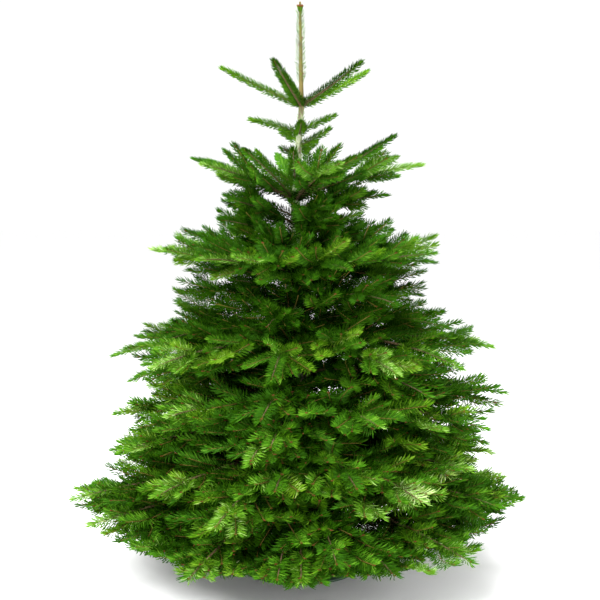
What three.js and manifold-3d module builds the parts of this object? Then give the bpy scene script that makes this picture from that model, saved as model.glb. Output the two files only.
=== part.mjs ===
// A cut fir tree of seven years' growth in a plain round stand.
// Millimetres and degrees, +Z up. The front is the -Y side and the right is +X.
// The origin is the middle of the stand's flat underside.

import * as THREE from "three";
import { mergeVertices } from "three/addons/utils/BufferGeometryUtils.js";
import Module from "manifold-3d";

const wasm = await Module();
wasm.setup();

// Clearance between neighbouring solids
const GAP = 0.3;

// Stand: a cast round base with a tube that holds the trunk, ribs, and three clamping screws
const STAND = {
  radius: 205,
  edge: 2,
  rimHeight: 9,
  shoulder: 45,
  shoulderRise: 5,
  hubRadius: 70,
  hubHeight: 26,
  baseSides: 32,
  tubeRadius: 54,
  tubeWall: 5,
  tubeTop: 152,
  tubeSunk: 6,
  tubeSides: 20,
  ribs: 3,
  ribReach: 150,
  ribEnd: 19,
  ribShoulder: 8,
  ribTop: 105,
  ribWidth: 8,
  screws: 3,
  firstScrew: 90,
  screwHeight: 122,
  screwRadius: 5,
  screwSides: 10,
  screwStart: 10,
  screwEnd: 104,
  nutRadius: 12,
  nutLength: 14,
  nutSunk: 4,
  nutSides: 6,
  handleRadius: 4,
  handleLength: 62,
  handleInset: 8,
  handleSides: 6,
};

// Trunk: from its flat cut foot on the stand's hub to the tip of the leading shoot
const TRUNK = {
  foot: STAND.hubHeight + GAP,
  top: 1893,
  footRadius: 35,
  tipRadius: 3.5,
  taper: 1.1,
  flare: 4,
  flareHeight: 70,
  sides: 9,
  steps: 14,
};

// Tiers of limbs from the top down. Height is where they leave the trunk, slope the angle at which they do and
// tip the height of their ends. Reach is how far they go to the right, to the left, and to the front and back.
// Turn is the first limb's place round the trunk, years their age, nodes the number of places along them where
// twigs leave, and lean where the trunk's middle lies at that height.
const TIERS = [
  { height: 1557, slope: 24, tip: 1690, reach: [245, 255, 245], turn: -40, years: 1, nodes: 0, lean: [5, 0] },
  { height: 1247, slope: 24, tip: 1375, reach: [400, 350, 355], turn: 0, years: 2, nodes: 1, lean: [-18, 3] },
  { height: 965, slope: 22, tip: 1075, reach: [500, 465, 470], turn: 38, years: 3, nodes: 2, lean: [-8, 6] },
  { height: 735, slope: 17, tip: 752, reach: [640, 630, 590], turn: 6, years: 4, nodes: 2, lean: [-2, 4] },
  { height: 540, slope: 13, tip: 560, reach: [690, 595, 640], turn: -30, years: 5, nodes: 2, lean: [2, -2] },
  { height: 380, slope: 11, tip: 372, reach: [660, 655, 665], turn: 10, years: 6, nodes: 2, lean: [3, -3] },
  { height: 250, slope: 6, tip: 172, reach: [790, 780, 720], turn: -48, years: 7, nodes: 3, lean: [1, -2] },
];
const LIMBS_A_TIER = 5;

// The lowest tier's ends lie this much higher at the sides than in front and behind
const SIDE_RISE = 76;

// The lower tiers' limbs are boughs as far as this share of their length, where their mass of foliage begins
const FIRST_TIER_WITH_BOUGHS = 3;
const BOUGH_SHARE = 0.34;

// Limbs: how thick one is at its root and tip, and how far seeded chance moves it
const LIMB = {
  rootRadius: 4.2,
  radiusPerYear: 1.1,
  tipRadius: 2.2,
  boughSides: 5,
  boughSteps: 2,
  stemSides: 3,
  stemSteps: 3,
  stemLeft: 0.95,
  turnChance: 5,
  reachChance: 0.03,
  tipChance: 12,
};

// Side twigs leave a node in pairs and run to the edge of the mass. The spray takes at most this share of one.
const TWIG = {
  headings: [60, 50, 44],
  lifts: [-4, 5, -3],
  radius: 2.6,
  sides: 3,
  sunk: 8,
  longest: 470,
  sprayShare: 0.62,
  firstNode: 0.2,
};

// Sprays between the pairs rise above the stem and hang below it
const RISING = { heading: 12, lift: 36, roll: -20, along: 0.02 };
const HANGING = { heading: -14, lift: -33, roll: 20, along: 0.1 };

// How far seeded chance turns and stretches what grows from a stem
const CHANCE = { heading: 7, lift: 5, roll: 10, length: 0.1, finger: 0.12 };

// A spray is a blade cut into blunt fingers of one width, each of which stands for a shoot with its needles.
// Longest and share limit a tier's sprays, spread is the angle that the fingers open to, and side how long the
// outermost are. The heel reaches back into the twig, and a stalk is a heel that is the twig itself.
const SPRAY = {
  longest: 250,
  share: 0.42,
  thickness: 18,
  fingerWidth: 48,
  tipWidth: 34,
  least: 0.3,
  shortest: 9,
  heel: 30,
  heelWidth: 12,
  stalk: 0.5,
  roll: 30,
};
const WIDE = { fingers: 6, spread: 150, side: 0.66 };
const SLIM = { fingers: 3, spread: 76, side: 0.8 };

// A shoot of one year is a slim core with needles that stand forward out of it, placed by the golden angle
const CORE = { root: 3, middle: 10, tip: 4, thickest: 0.4, sides: 5, steps: 5 };
const NEEDLE = {
  count: 7,
  length: 34,
  radius: 2.6,
  lean: 38,
  sides: 3,
  turn: 137.5,
  first: 0.16,
  spread: 0.8,
  depth: 0.3,
};

// Foliage keeps this margin to the edges of its own space, and stays clear of the trunk, its limb and the floor
const MARGIN = 4;
const CLEAR_OF_TRUNK = 60;
const CLEAR_OF_LIMB = 10;
const LOWEST_FOLIAGE = 128;
const ROOM_STEPS = 24;

const BARK = { color: 0x7d7a66, roughness: 0.9 };
const WOOD = { color: 0x6f5a3c, roughness: 0.85 };
const GREENS = [0x5f8f2a, 0x4f8524, 0x44781f, 0x3b6d1c, 0x376619, 0x336017, 0x2f5a16];
const NEEDLE_ROUGHNESS = 0.75;
const PAINT = { color: 0x1f3d2a, roughness: 0.45 };
const STEEL = { color: 0x9a9d9f, roughness: 0.35, metalness: 0.9 };

const radians = THREE.MathUtils.degToRad;
const UP = new THREE.Vector3(0, 0, 1);

// Numbers from 0 to 1 that are the same for the same seed
class Seeded {
  constructor(seed) {
    this.state = seed;
  }
  next() {
    this.state = (this.state * 48271) % 2147483647;
    return this.state / 2147483647;
  }
  around(spread) {
    return spread * (2 * this.next() - 1);
  }
}

// One stretch of a curve, from one share of it to another
class Stretch extends THREE.Curve {
  constructor(curve, from, to) {
    super();
    Object.assign(this, { curve, from, to });
  }
  getPoint(t, target = new THREE.Vector3()) {
    return this.curve.getPoint(this.from + (this.to - this.from) * t, target);
  }
}

// The trunk's middle runs straight from one tier's lean to the next
class TrunkLine extends THREE.Curve {
  getPoint(t, target = new THREE.Vector3()) {
    const z = TRUNK.foot + (TRUNK.top - TRUNK.foot) * t;
    const [x, y] = leanAt(z);
    return target.set(x, y, z);
  }
}

function leanAt(z) {
  const foot = { height: TRUNK.foot, lean: TIERS.at(-1).lean };
  const marks = [{ height: TRUNK.top, lean: [0, 0] }, ...TIERS, foot];
  const below = marks.findIndex((mark) => mark.height <= z);
  const i = THREE.MathUtils.clamp(below < 0 ? marks.length : below - 1, 0, marks.length - 2);
  const [upper, lower] = [marks[i], marks[i + 1]];
  const share = THREE.MathUtils.clamp((upper.height - z) / (upper.height - lower.height), 0, 1);
  return [0, 1].map((k) => THREE.MathUtils.lerp(upper.lean[k], lower.lean[k], share));
}

// The trunk tapers all the way up and flares at the foot
function trunkRadius(z) {
  const left = (TRUNK.top - z) / (TRUNK.top - TRUNK.foot);
  const flare = TRUNK.flare * Math.exp(-(z - TRUNK.foot) / TRUNK.flareHeight);
  return TRUNK.tipRadius + (TRUNK.footRadius - TRUNK.tipRadius) * left ** TRUNK.taper + flare;
}

// A closed geometry as a solid that can be joined and cut
function solidOf(geometry) {
  geometry.deleteAttribute("normal");
  geometry.deleteAttribute("uv");
  const merged = mergeVertices(geometry, 1e-3);
  return new wasm.Manifold(
    new wasm.Mesh({
      numProp: 3,
      vertProperties: merged.attributes.position.array,
      triVerts: new Uint32Array(merged.index.array),
    }),
  );
}

// The largest closed body of a solid, without loose scraps and sealed hollows
function wholeOf(solid) {
  return solid.decompose().reduce((best, body) => (body.volume() > best.volume() ? body : best));
}

function joined(solids) {
  return wasm.Manifold.union(solids);
}

function meshOf(name, solid, finish) {
  const { numProp, vertProperties, triVerts } = solid.getMesh();
  const geometry = new THREE.BufferGeometry();
  geometry.setAttribute("position", new THREE.BufferAttribute(new Float32Array(vertProperties), numProp));
  geometry.setIndex(new THREE.BufferAttribute(new Uint32Array(triVerts), 1));
  geometry.computeVertexNormals();
  const mesh = new THREE.Mesh(geometry, new THREE.MeshStandardMaterial({ ...finish, flatShading: true }));
  mesh.name = name;
  return mesh;
}

// A round limb along a curve: a cylinder of unit size whose rings are scaled and carried to the curve
function limbGeometry(curve, radiusAt, sides, steps) {
  const geometry = new THREE.CylinderGeometry(1, 1, 1, sides, steps);
  const position = geometry.attributes.position;
  for (let i = 0; i < position.count; i++) {
    const t = THREE.MathUtils.clamp(position.getY(i) + 0.5, 0, 1);
    const tangent = curve.getTangent(t);
    const side = new THREE.Vector3().crossVectors(tangent, sideReference(tangent)).normalize();
    const normal = new THREE.Vector3().crossVectors(side, tangent);
    const radius = radiusAt(t);
    const point = curve.getPoint(t);
    point.addScaledVector(side, position.getX(i) * radius);
    point.addScaledVector(normal, position.getZ(i) * radius);
    position.setXYZ(i, point.x, point.y, point.z);
  }
  return geometry;
}

// A direction well away from the tangent's, up unless the limb itself runs nearly upright
function sideReference(tangent) {
  const upright = Math.abs(tangent.z) > 0.9;
  return upright ? new THREE.Vector3(0, 1, 0) : UP;
}

// How far a tier reaches at an azimuth
function reachAt(tier, azimuth) {
  const [right, left, depth] = tier.reach;
  const across = Math.cos(radians(azimuth));
  return depth + ((right + left) / 2 - depth) * across ** 2 + ((right - left) / 2) * across;
}

function tipAt(tier, azimuth) {
  const rise = tier === TIERS.at(-1) ? SIDE_RISE : 0;
  return tier.tip + rise * Math.cos(radians(azimuth)) ** 2;
}

// Height of a tier's limbs at a distance from the trunk
function tierHeight(tier, distance, azimuth) {
  const depth = tier.reach[2];
  const share = Math.min(1, distance / depth);
  const middle = tier.height + Math.tan(radians(tier.slope)) * (depth / 2);
  const rest = 1 - share;
  return tier.height * rest ** 2 + 2 * middle * share * rest + tipAt(tier, azimuth) * share ** 2;
}

function sprayLength(tier) {
  return Math.min(SPRAY.longest, SPRAY.share * tier.reach[2]);
}

// A limb's place round the trunk, its reach and its curve out of the trunk's middle, set by its own seed
function limbOf(level, number) {
  const tier = TIERS[level];
  const random = new Seeded(1000 * (level + 1) + 37 * (number + 1));
  random.next();
  const azimuth = sliceMiddle(tier, number) + random.around(LIMB.turnChance);
  const reach = reachAt(tier, azimuth) * (1 + random.around(LIMB.reachChance));
  const tip = tipAt(tier, azimuth) + random.around(LIMB.tipChance);
  const out = new THREE.Vector3(Math.cos(radians(azimuth)), Math.sin(radians(azimuth)), 0);
  const root = new THREE.Vector3(...leanAt(tier.height), tier.height);
  const middle = root.clone().addScaledVector(out, reach / 2);
  middle.z += Math.tan(radians(tier.slope)) * (reach / 2);
  const end = root.clone().addScaledVector(out, reach);
  end.z = tip;
  const curve = new THREE.QuadraticBezierCurve3(root, middle, end);
  const rootRadius = LIMB.rootRadius + LIMB.radiusPerYear * tier.years;
  return { level, tier, number, reach, curve, rootRadius, random };
}

function sliceMiddle(tier, number) {
  return tier.turn + (360 / LIMBS_A_TIER) * number;
}

function limbRadius(limb, share) {
  return THREE.MathUtils.lerp(limb.rootRadius, LIMB.tipRadius, share);
}

// The space of one mass: a slice of its tier, halfway to the tiers above and below
function insideSpace(limb, point) {
  const distance = Math.hypot(point.x, point.y);
  const bearing = Math.atan2(point.y, point.x);
  const turn = radians(sliceMiddle(limb.tier, limb.number)) - bearing;
  const off = Math.abs(Math.atan2(Math.sin(turn), Math.cos(turn)));
  const toEdge = distance * Math.sin(Math.PI / LIMBS_A_TIER - off);
  const azimuth = THREE.MathUtils.radToDeg(bearing);
  const here = tierHeight(limb.tier, distance, azimuth);
  const above = TIERS[limb.level - 1];
  const below = TIERS[limb.level + 1];
  const ceiling = above ? (here + tierHeight(above, distance, azimuth)) / 2 : Infinity;
  const floor = below ? (here + tierHeight(below, distance, azimuth)) / 2 : LOWEST_FOLIAGE;
  const around = distance > CLEAR_OF_TRUNK && distance < reachAt(limb.tier, azimuth) && toEdge > MARGIN;
  return around && point.z < ceiling - MARGIN && point.z > floor + MARGIN;
}

// How far one can go before any of the points at a distance leaves the mass's space, up to the wanted length
function roomFor(limb, pointsAt, wanted) {
  const inside = (distance) => pointsAt(distance).every((point) => insideSpace(limb, point));
  let free = 0;
  while (free < ROOM_STEPS && inside((wanted * (free + 1)) / ROOM_STEPS)) free += 1;
  return (wanted * free) / ROOM_STEPS;
}

// A spray's blade: fingers round a middle, with notches where their sides meet, and a heel that reaches back.
// The rim is thin, and both faces rise to a point over the middle. Nothing is made where the space leaves too
// little of the longest finger.
function bladeGeometry(limb, kind, pose, length, heel) {
  const across = new THREE.Vector3().crossVectors(pose.normal, pose.direction);
  const place = (distance, angle, off = 0, rise = 0) => {
    const [cos, sin] = [Math.cos(radians(angle)), Math.sin(radians(angle))];
    const point = pose.middle.clone().addScaledVector(pose.direction, distance * cos - off * sin);
    return point.addScaledVector(across, distance * sin + off * cos).addScaledVector(pose.normal, rise);
  };
  const gap = kind.spread / (kind.fingers - 1);
  const notch = SPRAY.fingerWidth / 2 / Math.sin(radians(gap / 2));
  const tips = Array.from({ length: kind.fingers }, (_, i) => {
    const angle = kind.spread * (i / (kind.fingers - 1) - 0.5);
    const share = 1 - (1 - kind.side) * Math.abs((2 * angle) / kind.spread);
    const wanted = length * share * (1 + limb.random.around(CHANCE.finger));
    const corners = (distance) => [-1, 1].map((hand) => place(distance, angle, (hand * SPRAY.tipWidth) / 2));
    return { angle, reach: roomFor(limb, corners, wanted) };
  });
  if (Math.max(...tips.map((tip) => tip.reach)) < SPRAY.least * length) return undefined;
  const ends = tips.map((tip) => Math.max(tip.reach, SPRAY.shortest));
  const rim = [place(-heel, 0, -SPRAY.heelWidth / 2)];
  tips.forEach(({ angle }, i) => {
    const halfWidth = Math.min(SPRAY.tipWidth, ends[i] / 2) / 2;
    rim.push(place(ends[i], angle, -halfWidth), place(ends[i], angle, halfWidth));
    if (i < tips.length - 1) rim.push(place(Math.min(notch, ends[i], ends[i + 1]), angle + gap / 2));
  });
  rim.push(place(-heel, 0, SPRAY.heelWidth / 2));
  const points = [...rim, place(0, 0, 0, SPRAY.thickness / 2), place(0, 0, 0, -SPRAY.thickness / 2)];
  const index = [];
  rim.forEach((_, i) => {
    const next = (i + 1) % rim.length;
    index.push(i, next, rim.length, next, i, rim.length + 1);
  });
  return new THREE.BufferGeometry().setFromPoints(points).setIndex(index);
}

// A direction turned from a stem's, to one side by a heading and up by a lift, each with a little chance
function turned(tangent, heading, lift, random) {
  const side = radians(heading + random.around(CHANCE.heading));
  const rise = radians(lift + random.around(CHANCE.lift));
  const flat = new THREE.Vector3(tangent.x, tangent.y, 0).normalize().applyAxisAngle(UP, side);
  const slope = Math.atan2(tangent.z, Math.hypot(tangent.x, tangent.y)) * Math.cos(side) + rise;
  return flat.multiplyScalar(Math.cos(slope)).setZ(Math.sin(slope));
}

// The square to a direction that points up, turned about the direction by a roll with a little chance
function squareTo(direction, roll, random) {
  const normal = UP.clone().addScaledVector(direction, -direction.dot(UP)).normalize();
  return normal.applyAxisAngle(direction, radians(roll + random.around(CHANCE.roll)));
}

// A side twig that runs from a node to the edge of the mass's space, with a spray on its end
function sideTwig(limb, share, side, place) {
  const start = limb.curve.getPoint(share);
  const heading = side * TWIG.headings[place];
  const direction = turned(limb.curve.getTangent(share), heading, TWIG.lifts[place], limb.random);
  const normal = squareTo(direction, side * SPRAY.roll, limb.random);
  const along = (distance) => start.clone().addScaledVector(direction, distance);
  const beyond = (distance) => [along(distance + CLEAR_OF_LIMB)];
  const room = roomFor(limb, beyond, TWIG.longest) + CLEAR_OF_LIMB;
  const wanted = Math.min(sprayLength(limb.tier), TWIG.sprayShare * room);
  const length = wanted * (1 + limb.random.around(CHANCE.length));
  const pose = { middle: along(room - length), direction, normal };
  const blade = bladeGeometry(limb, WIDE, pose, length, SPRAY.heel);
  if (!blade) return [];
  const line = new THREE.LineCurve3(start, along(room - length + TWIG.sunk));
  return [solidOf(limbGeometry(line, () => TWIG.radius, TWIG.sides, 1)), solidOf(blade)];
}

// A spray whose heel is its own short twig, rooted in the stem
function stalkedSpray(limb, share, hand, rule) {
  const direction = turned(limb.curve.getTangent(share), hand * rule.heading, rule.lift, limb.random);
  const normal = squareTo(direction, hand * rule.roll, limb.random);
  const stalk = SPRAY.stalk * sprayLength(limb.tier);
  const middle = limb.curve.getPoint(share).addScaledVector(direction, stalk - TWIG.sunk);
  const length = sprayLength(limb.tier) * (1 + limb.random.around(CHANCE.length));
  const blade = bladeGeometry(limb, SLIM, { middle, direction, normal }, length, stalk);
  return blade ? [solidOf(blade)] : [];
}

// A mass: a stem, the twigs and sprays of its nodes and the spray on its end, fused into one solid
function massSolid(limb, from) {
  const { reach, curve, tier, number } = limb;
  const length = sprayLength(tier);
  const stemEnd = 1 - (LIMB.stemLeft * length) / reach;
  const stem = new Stretch(curve, from, stemEnd);
  const radiusAt = (t) => limbRadius(limb, THREE.MathUtils.lerp(from, stemEnd, t));
  const pieces = [solidOf(limbGeometry(stem, radiusAt, LIMB.stemSides, LIMB.stemSteps))];
  for (let i = 0; i < tier.nodes; i++) {
    const share = THREE.MathUtils.lerp(from, stemEnd, (i + TWIG.firstNode) / tier.nodes);
    const hand = (i + number) % 2 ? -1 : 1;
    const between = hand > 0 ? [RISING] : [HANGING];
    pieces.push(...sideTwig(limb, share, -1, i), ...sideTwig(limb, share, 1, i));
    for (const rule of i === 0 ? [RISING, HANGING] : between) {
      pieces.push(...stalkedSpray(limb, share + rule.along, hand, rule));
    }
  }
  const direction = curve.getTangent(stemEnd);
  const middle = curve.getPoint(stemEnd).addScaledVector(direction, -TWIG.sunk);
  const pose = { middle, direction, normal: squareTo(direction, 0, limb.random) };
  pieces.push(solidOf(bladeGeometry(limb, SLIM, pose, length, SPRAY.heel)));
  return joined(pieces);
}

function coreRadius(t) {
  const { root, middle, tip, thickest } = CORE;
  if (t < thickest) return THREE.MathUtils.lerp(root, middle, t / thickest);
  return THREE.MathUtils.lerp(middle, tip, (t - thickest) / (1 - thickest));
}

// The needles of a shoot, each a slim cone whose root is sunk in the core
function needlesOn(curve) {
  return Array.from({ length: NEEDLE.count }, (_, i) => {
    const share = NEEDLE.first + (NEEDLE.spread * i) / NEEDLE.count;
    const tangent = curve.getTangent(share);
    const out = new THREE.Vector3().crossVectors(tangent, UP).normalize();
    out.applyAxisAngle(tangent, radians(NEEDLE.turn * i));
    const direction = tangent.clone().multiplyScalar(Math.cos(radians(NEEDLE.lean)));
    direction.addScaledVector(out, Math.sin(radians(NEEDLE.lean)));
    const needle = new THREE.ConeGeometry(NEEDLE.radius, NEEDLE.length, NEEDLE.sides);
    needle.translate(0, NEEDLE.length / 2, 0);
    needle.applyQuaternion(new THREE.Quaternion().setFromUnitVectors(new THREE.Vector3(0, 1, 0), direction));
    const root = curve.getPoint(share).addScaledVector(out, coreRadius(share) * NEEDLE.depth);
    needle.translate(root.x, root.y, root.z);
    return solidOf(needle);
  });
}

function shootSolid(limb) {
  const core = solidOf(limbGeometry(limb.curve, coreRadius, CORE.sides, CORE.steps));
  return joined([core, ...needlesOn(limb.curve)]);
}

function screwPlace(number) {
  return STAND.firstScrew + (360 / STAND.screws) * number;
}

// A cylinder that lies along a line out of the stand's middle, at the height of the screws
function radialCylinder(radius, from, to, number, sides) {
  const cylinder = new THREE.CylinderGeometry(radius, radius, to - from, sides);
  cylinder.rotateZ(-Math.PI / 2);
  cylinder.translate((from + to) / 2, 0, STAND.screwHeight);
  cylinder.rotateZ(radians(screwPlace(number)));
  return solidOf(cylinder);
}

// A body of revolution about the upright axis, from a closed profile of distances and heights
function turnedBody(profile, sides) {
  const points = profile.map(([distance, height]) => new THREE.Vector2(distance, height));
  return solidOf(new THREE.LatheGeometry(points, sides).rotateX(Math.PI / 2));
}

function baseSolid() {
  const { radius, edge, rimHeight, hubHeight } = STAND;
  const profile = [
    [0, 0],
    [radius - edge, 0],
    [radius, edge],
    [radius, rimHeight - edge],
    [radius - edge, rimHeight],
    [radius - STAND.shoulder, rimHeight + STAND.shoulderRise],
    [STAND.hubRadius, hubHeight],
    [0, hubHeight],
  ];
  return turnedBody(profile, STAND.baseSides);
}

function tubeSolid(inner) {
  const bottom = STAND.hubHeight - STAND.tubeSunk;
  const profile = [
    [inner, bottom],
    [STAND.tubeRadius, bottom],
    [STAND.tubeRadius, STAND.tubeTop],
    [inner, STAND.tubeTop],
    [inner, bottom],
  ];
  return turnedBody(profile, STAND.tubeSides);
}

function ribSolid(number, inner) {
  const start = (inner + STAND.tubeRadius) / 2;
  const corners = [
    [start, STAND.rimHeight],
    [STAND.ribReach, STAND.rimHeight],
    [STAND.ribReach, STAND.ribEnd],
    [STAND.tubeRadius + STAND.ribShoulder, STAND.ribTop],
    [start, STAND.ribTop],
  ];
  const shape = new THREE.Shape(corners.map(([distance, height]) => new THREE.Vector2(distance, height)));
  const rib = new THREE.ExtrudeGeometry(shape, { depth: STAND.ribWidth, bevelEnabled: false });
  rib.translate(0, 0, -STAND.ribWidth / 2);
  rib.rotateX(Math.PI / 2);
  rib.rotateZ(radians(screwPlace(0) + (360 / STAND.ribs) * (number + 0.5)));
  return solidOf(rib);
}

// The stand's base, tube, ribs and nuts, cast and welded in one piece, with a hole for each screw
function standSolid() {
  const inner = STAND.tubeRadius - STAND.tubeWall;
  const nutEnd = STAND.tubeRadius + STAND.nutLength;
  const nutStart = STAND.tubeRadius - STAND.nutSunk;
  const holeRadius = STAND.screwRadius + GAP;
  const pieces = [baseSolid(), tubeSolid(inner)];
  for (let i = 0; i < STAND.ribs; i++) pieces.push(ribSolid(i, inner));
  for (let i = 0; i < STAND.screws; i++) {
    pieces.push(radialCylinder(STAND.nutRadius, nutStart, nutEnd, i, STAND.nutSides));
  }
  let stand = joined(pieces);
  for (let i = 0; i < STAND.screws; i++) {
    const [from, to] = [inner - STAND.tubeWall, nutEnd + STAND.nutLength];
    stand = stand.subtract(radialCylinder(holeRadius, from, to, i, STAND.screwSides));
  }
  return wholeOf(stand);
}

// A clamping screw with its cross handle, cut off where it meets the trunk
function screwSolid(number, trunkRoom) {
  const shank = radialCylinder(STAND.screwRadius, STAND.screwStart, STAND.screwEnd, number, STAND.screwSides);
  const { handleRadius, handleLength, handleSides } = STAND;
  const handle = new THREE.CylinderGeometry(handleRadius, handleRadius, handleLength, handleSides);
  handle.translate(STAND.screwEnd - STAND.handleInset, 0, STAND.screwHeight);
  handle.rotateZ(radians(screwPlace(number)));
  return wholeOf(joined([shank, solidOf(handle)]).subtract(trunkRoom));
}

// The trunk's solid, wider all round by a clearance
function trunkSolid(clearance) {
  const radiusAt = (t) => trunkRadius(THREE.MathUtils.lerp(TRUNK.foot, TRUNK.top, t)) + clearance;
  return solidOf(limbGeometry(new TrunkLine(), radiusAt, TRUNK.sides, TRUNK.steps));
}

// The meshes of one limb: a shoot, a mass that grows from the trunk, or a bough with its mass
function limbMeshes(level, number, trunkRoom) {
  const limb = limbOf(level, number);
  const nameOf = (kind) => `tier_${level + 1}_${kind}_${number + 1}`;
  const needles = { color: GREENS[level], roughness: NEEDLE_ROUGHNESS };
  if (limb.tier.nodes === 0) {
    return [meshOf(nameOf("shoot"), wholeOf(shootSolid(limb).subtract(trunkRoom)), needles)];
  }
  if (level < FIRST_TIER_WITH_BOUGHS) {
    return [meshOf(nameOf("foliage"), wholeOf(massSolid(limb, 0).subtract(trunkRoom)), needles)];
  }
  const line = new Stretch(limb.curve, 0, BOUGH_SHARE);
  const radiusAt = (t) => limbRadius(limb, BOUGH_SHARE * t);
  const bough = solidOf(limbGeometry(line, radiusAt, LIMB.boughSides, LIMB.boughSteps));
  const start = BOUGH_SHARE + GAP / limb.curve.getLength();
  return [
    meshOf(nameOf("bough"), wholeOf(bough.subtract(trunkRoom)), WOOD),
    meshOf(nameOf("foliage"), wholeOf(massSolid(limb, start)), needles),
  ];
}

const trunkRoom = trunkSolid(GAP);
const tree = new THREE.Group();
tree.add(meshOf("trunk", trunkSolid(0), BARK));
TIERS.forEach((_, level) => {
  for (let number = 0; number < LIMBS_A_TIER; number++) tree.add(...limbMeshes(level, number, trunkRoom));
});
tree.add(meshOf("stand_base", standSolid(), PAINT));
for (let i = 0; i < STAND.screws; i++) {
  tree.add(meshOf(`stand_screw_${i + 1}`, screwSolid(i, trunkRoom), STEEL));
}

export default tree;
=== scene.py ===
"""A cut fir tree of seven years' growth in a plain round stand, with bark, twigs, buds and needles.

Metres and degrees, +Z up. The front is the -Y side and the right is +X. Limbs, twigs and sprays grow by the same
seeded rule as the solids that they stand for, carried on to single shoots and needles.
"""

import logging
import math
from dataclasses import dataclass, field, replace
from enum import Enum
from typing import Any

import bpy
import numpy as np
from mathutils import Matrix, Vector


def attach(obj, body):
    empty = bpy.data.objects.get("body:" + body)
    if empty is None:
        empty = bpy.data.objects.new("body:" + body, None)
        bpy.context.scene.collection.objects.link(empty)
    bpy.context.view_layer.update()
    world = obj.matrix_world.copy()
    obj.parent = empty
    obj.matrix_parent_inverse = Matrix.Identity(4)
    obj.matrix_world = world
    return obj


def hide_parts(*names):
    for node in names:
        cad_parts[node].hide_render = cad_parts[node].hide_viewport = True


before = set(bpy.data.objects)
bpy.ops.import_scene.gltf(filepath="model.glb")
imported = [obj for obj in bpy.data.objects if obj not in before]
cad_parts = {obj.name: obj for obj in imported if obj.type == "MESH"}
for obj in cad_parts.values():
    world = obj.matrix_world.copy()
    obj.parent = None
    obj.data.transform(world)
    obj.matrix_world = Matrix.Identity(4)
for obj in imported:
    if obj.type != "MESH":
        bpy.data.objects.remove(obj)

logging.basicConfig(level=logging.INFO, format="%(message)s")
LOG = logging.getLogger("fir")
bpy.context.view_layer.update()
UP = Vector((0.0, 0.0, 1.0))
SEED_FACTOR = 48271
SEED_PRIME = 2147483647
GOLDEN = 0.6180339887
GOLDEN_TURN = 137.5
LIMBS_A_TIER = 5
FIRST_TIER_WITH_BOUGHS = 3
FIRST_LOW_TIER = 4
LOWEST_FOLIAGE = 0.150
WIDEST_TWIG_SPREAD = 170
STEEP_SHOOT = 0.95
STEEP_BUD = 0.9
OTHER_COLUMNS = (0.0,) * 14

Pair = tuple[float, float]
Triple = tuple[float, float, float]
Array = np.ndarray
Arrays = tuple[Array, ...]
Surface = tuple[Array, list[Array]]
Material = bpy.types.Material
Piece = bpy.types.Object


@dataclass(frozen=True)
class Tier:
    """One whorl of limbs.

    Its limbs leave the trunk at a height and a slope and end at a tip. They reach so far to the right, to the left
    and to the front. Turn is the place of the first limb round the trunk, years the whorl's age, and lean where the
    trunk's middle lies there. Droop tells how far twigs hang at the crown's skin, and side_rise how much higher
    limbs end at the sides. Fullness is a share of the needles, and light is added to each shoot's place on the
    row of greens.
    """

    height: float
    slope: float
    tip: float
    reach: Triple
    turn: float
    years: int
    lean: Pair
    droop: float = 0.0
    side_rise: float = 0.0
    fullness: float = 0.96
    light: float = 0.0

    def reach_at(self, azimuth: float) -> float:
        """Works out the reach: an ellipse of the azimuth that is longer on one side than on the other.

        Args:
            azimuth: Direction round the trunk, in radians.

        Returns:
            The reach.
        """
        right, left, depth = self.reach
        across = math.cos(azimuth)
        return depth + ((right + left) / 2 - depth) * across**2 + (right - left) / 2 * across

    def share_of_reach(self, point: Vector) -> float:
        """Returns how far out a point lies, as a share of the tier's reach there."""
        return math.hypot(point.x, point.y) / self.reach_at(math.atan2(point.y, point.x))

    def tip_at(self, azimuth: float) -> float:
        """Returns the height of the limbs' ends, which lie higher at the sides by side_rise."""
        return self.tip + self.side_rise * math.cos(azimuth) ** 2

    def height_at(self, distance: float, azimuth: float) -> float:
        """Works out the height of the limbs at a distance from the trunk.

        Args:
            distance: Distance from the trunk's axis.
            azimuth: Direction round the trunk, in radians.

        Returns:
            The height on a parabola that leaves the trunk at the slope and ends at the tip.
        """
        share = min(1.0, distance / self.reach[2])
        middle = self.height + math.tan(math.radians(self.slope)) * self.reach[2] / 2
        rest = 1 - share
        return self.height * rest**2 + 2 * middle * share * rest + self.tip_at(azimuth) * share**2


TIERS = (
    Tier(1.557, 22, 1.674, (0.245, 0.255, 0.245), -40, 1, (0.005, 0.0), fullness=1.0, light=-0.5),
    Tier(1.247, 24, 1.368, (0.400, 0.350, 0.355), 0, 2, (-0.018, 0.003), fullness=1.0, light=0.4),
    Tier(0.965, 22, 1.075, (0.500, 0.465, 0.470), 38, 3, (-0.008, 0.006), 0.02, fullness=1.3, light=0.3),
    Tier(0.735, 17, 0.752, (0.640, 0.630, 0.590), 6, 4, (-0.002, 0.004), 0.06, fullness=1.1),
    Tier(0.540, 13, 0.560, (0.690, 0.595, 0.640), -30, 5, (0.002, -0.002), 0.12),
    Tier(0.380, 11, 0.372, (0.660, 0.655, 0.665), 10, 6, (0.003, -0.003), 0.26, light=0.35),
    Tier(0.250, 6, 0.172, (0.790, 0.780, 0.720), -48, 7, (0.001, -0.002), 0.50, 0.076, light=0.35),
)


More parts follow.
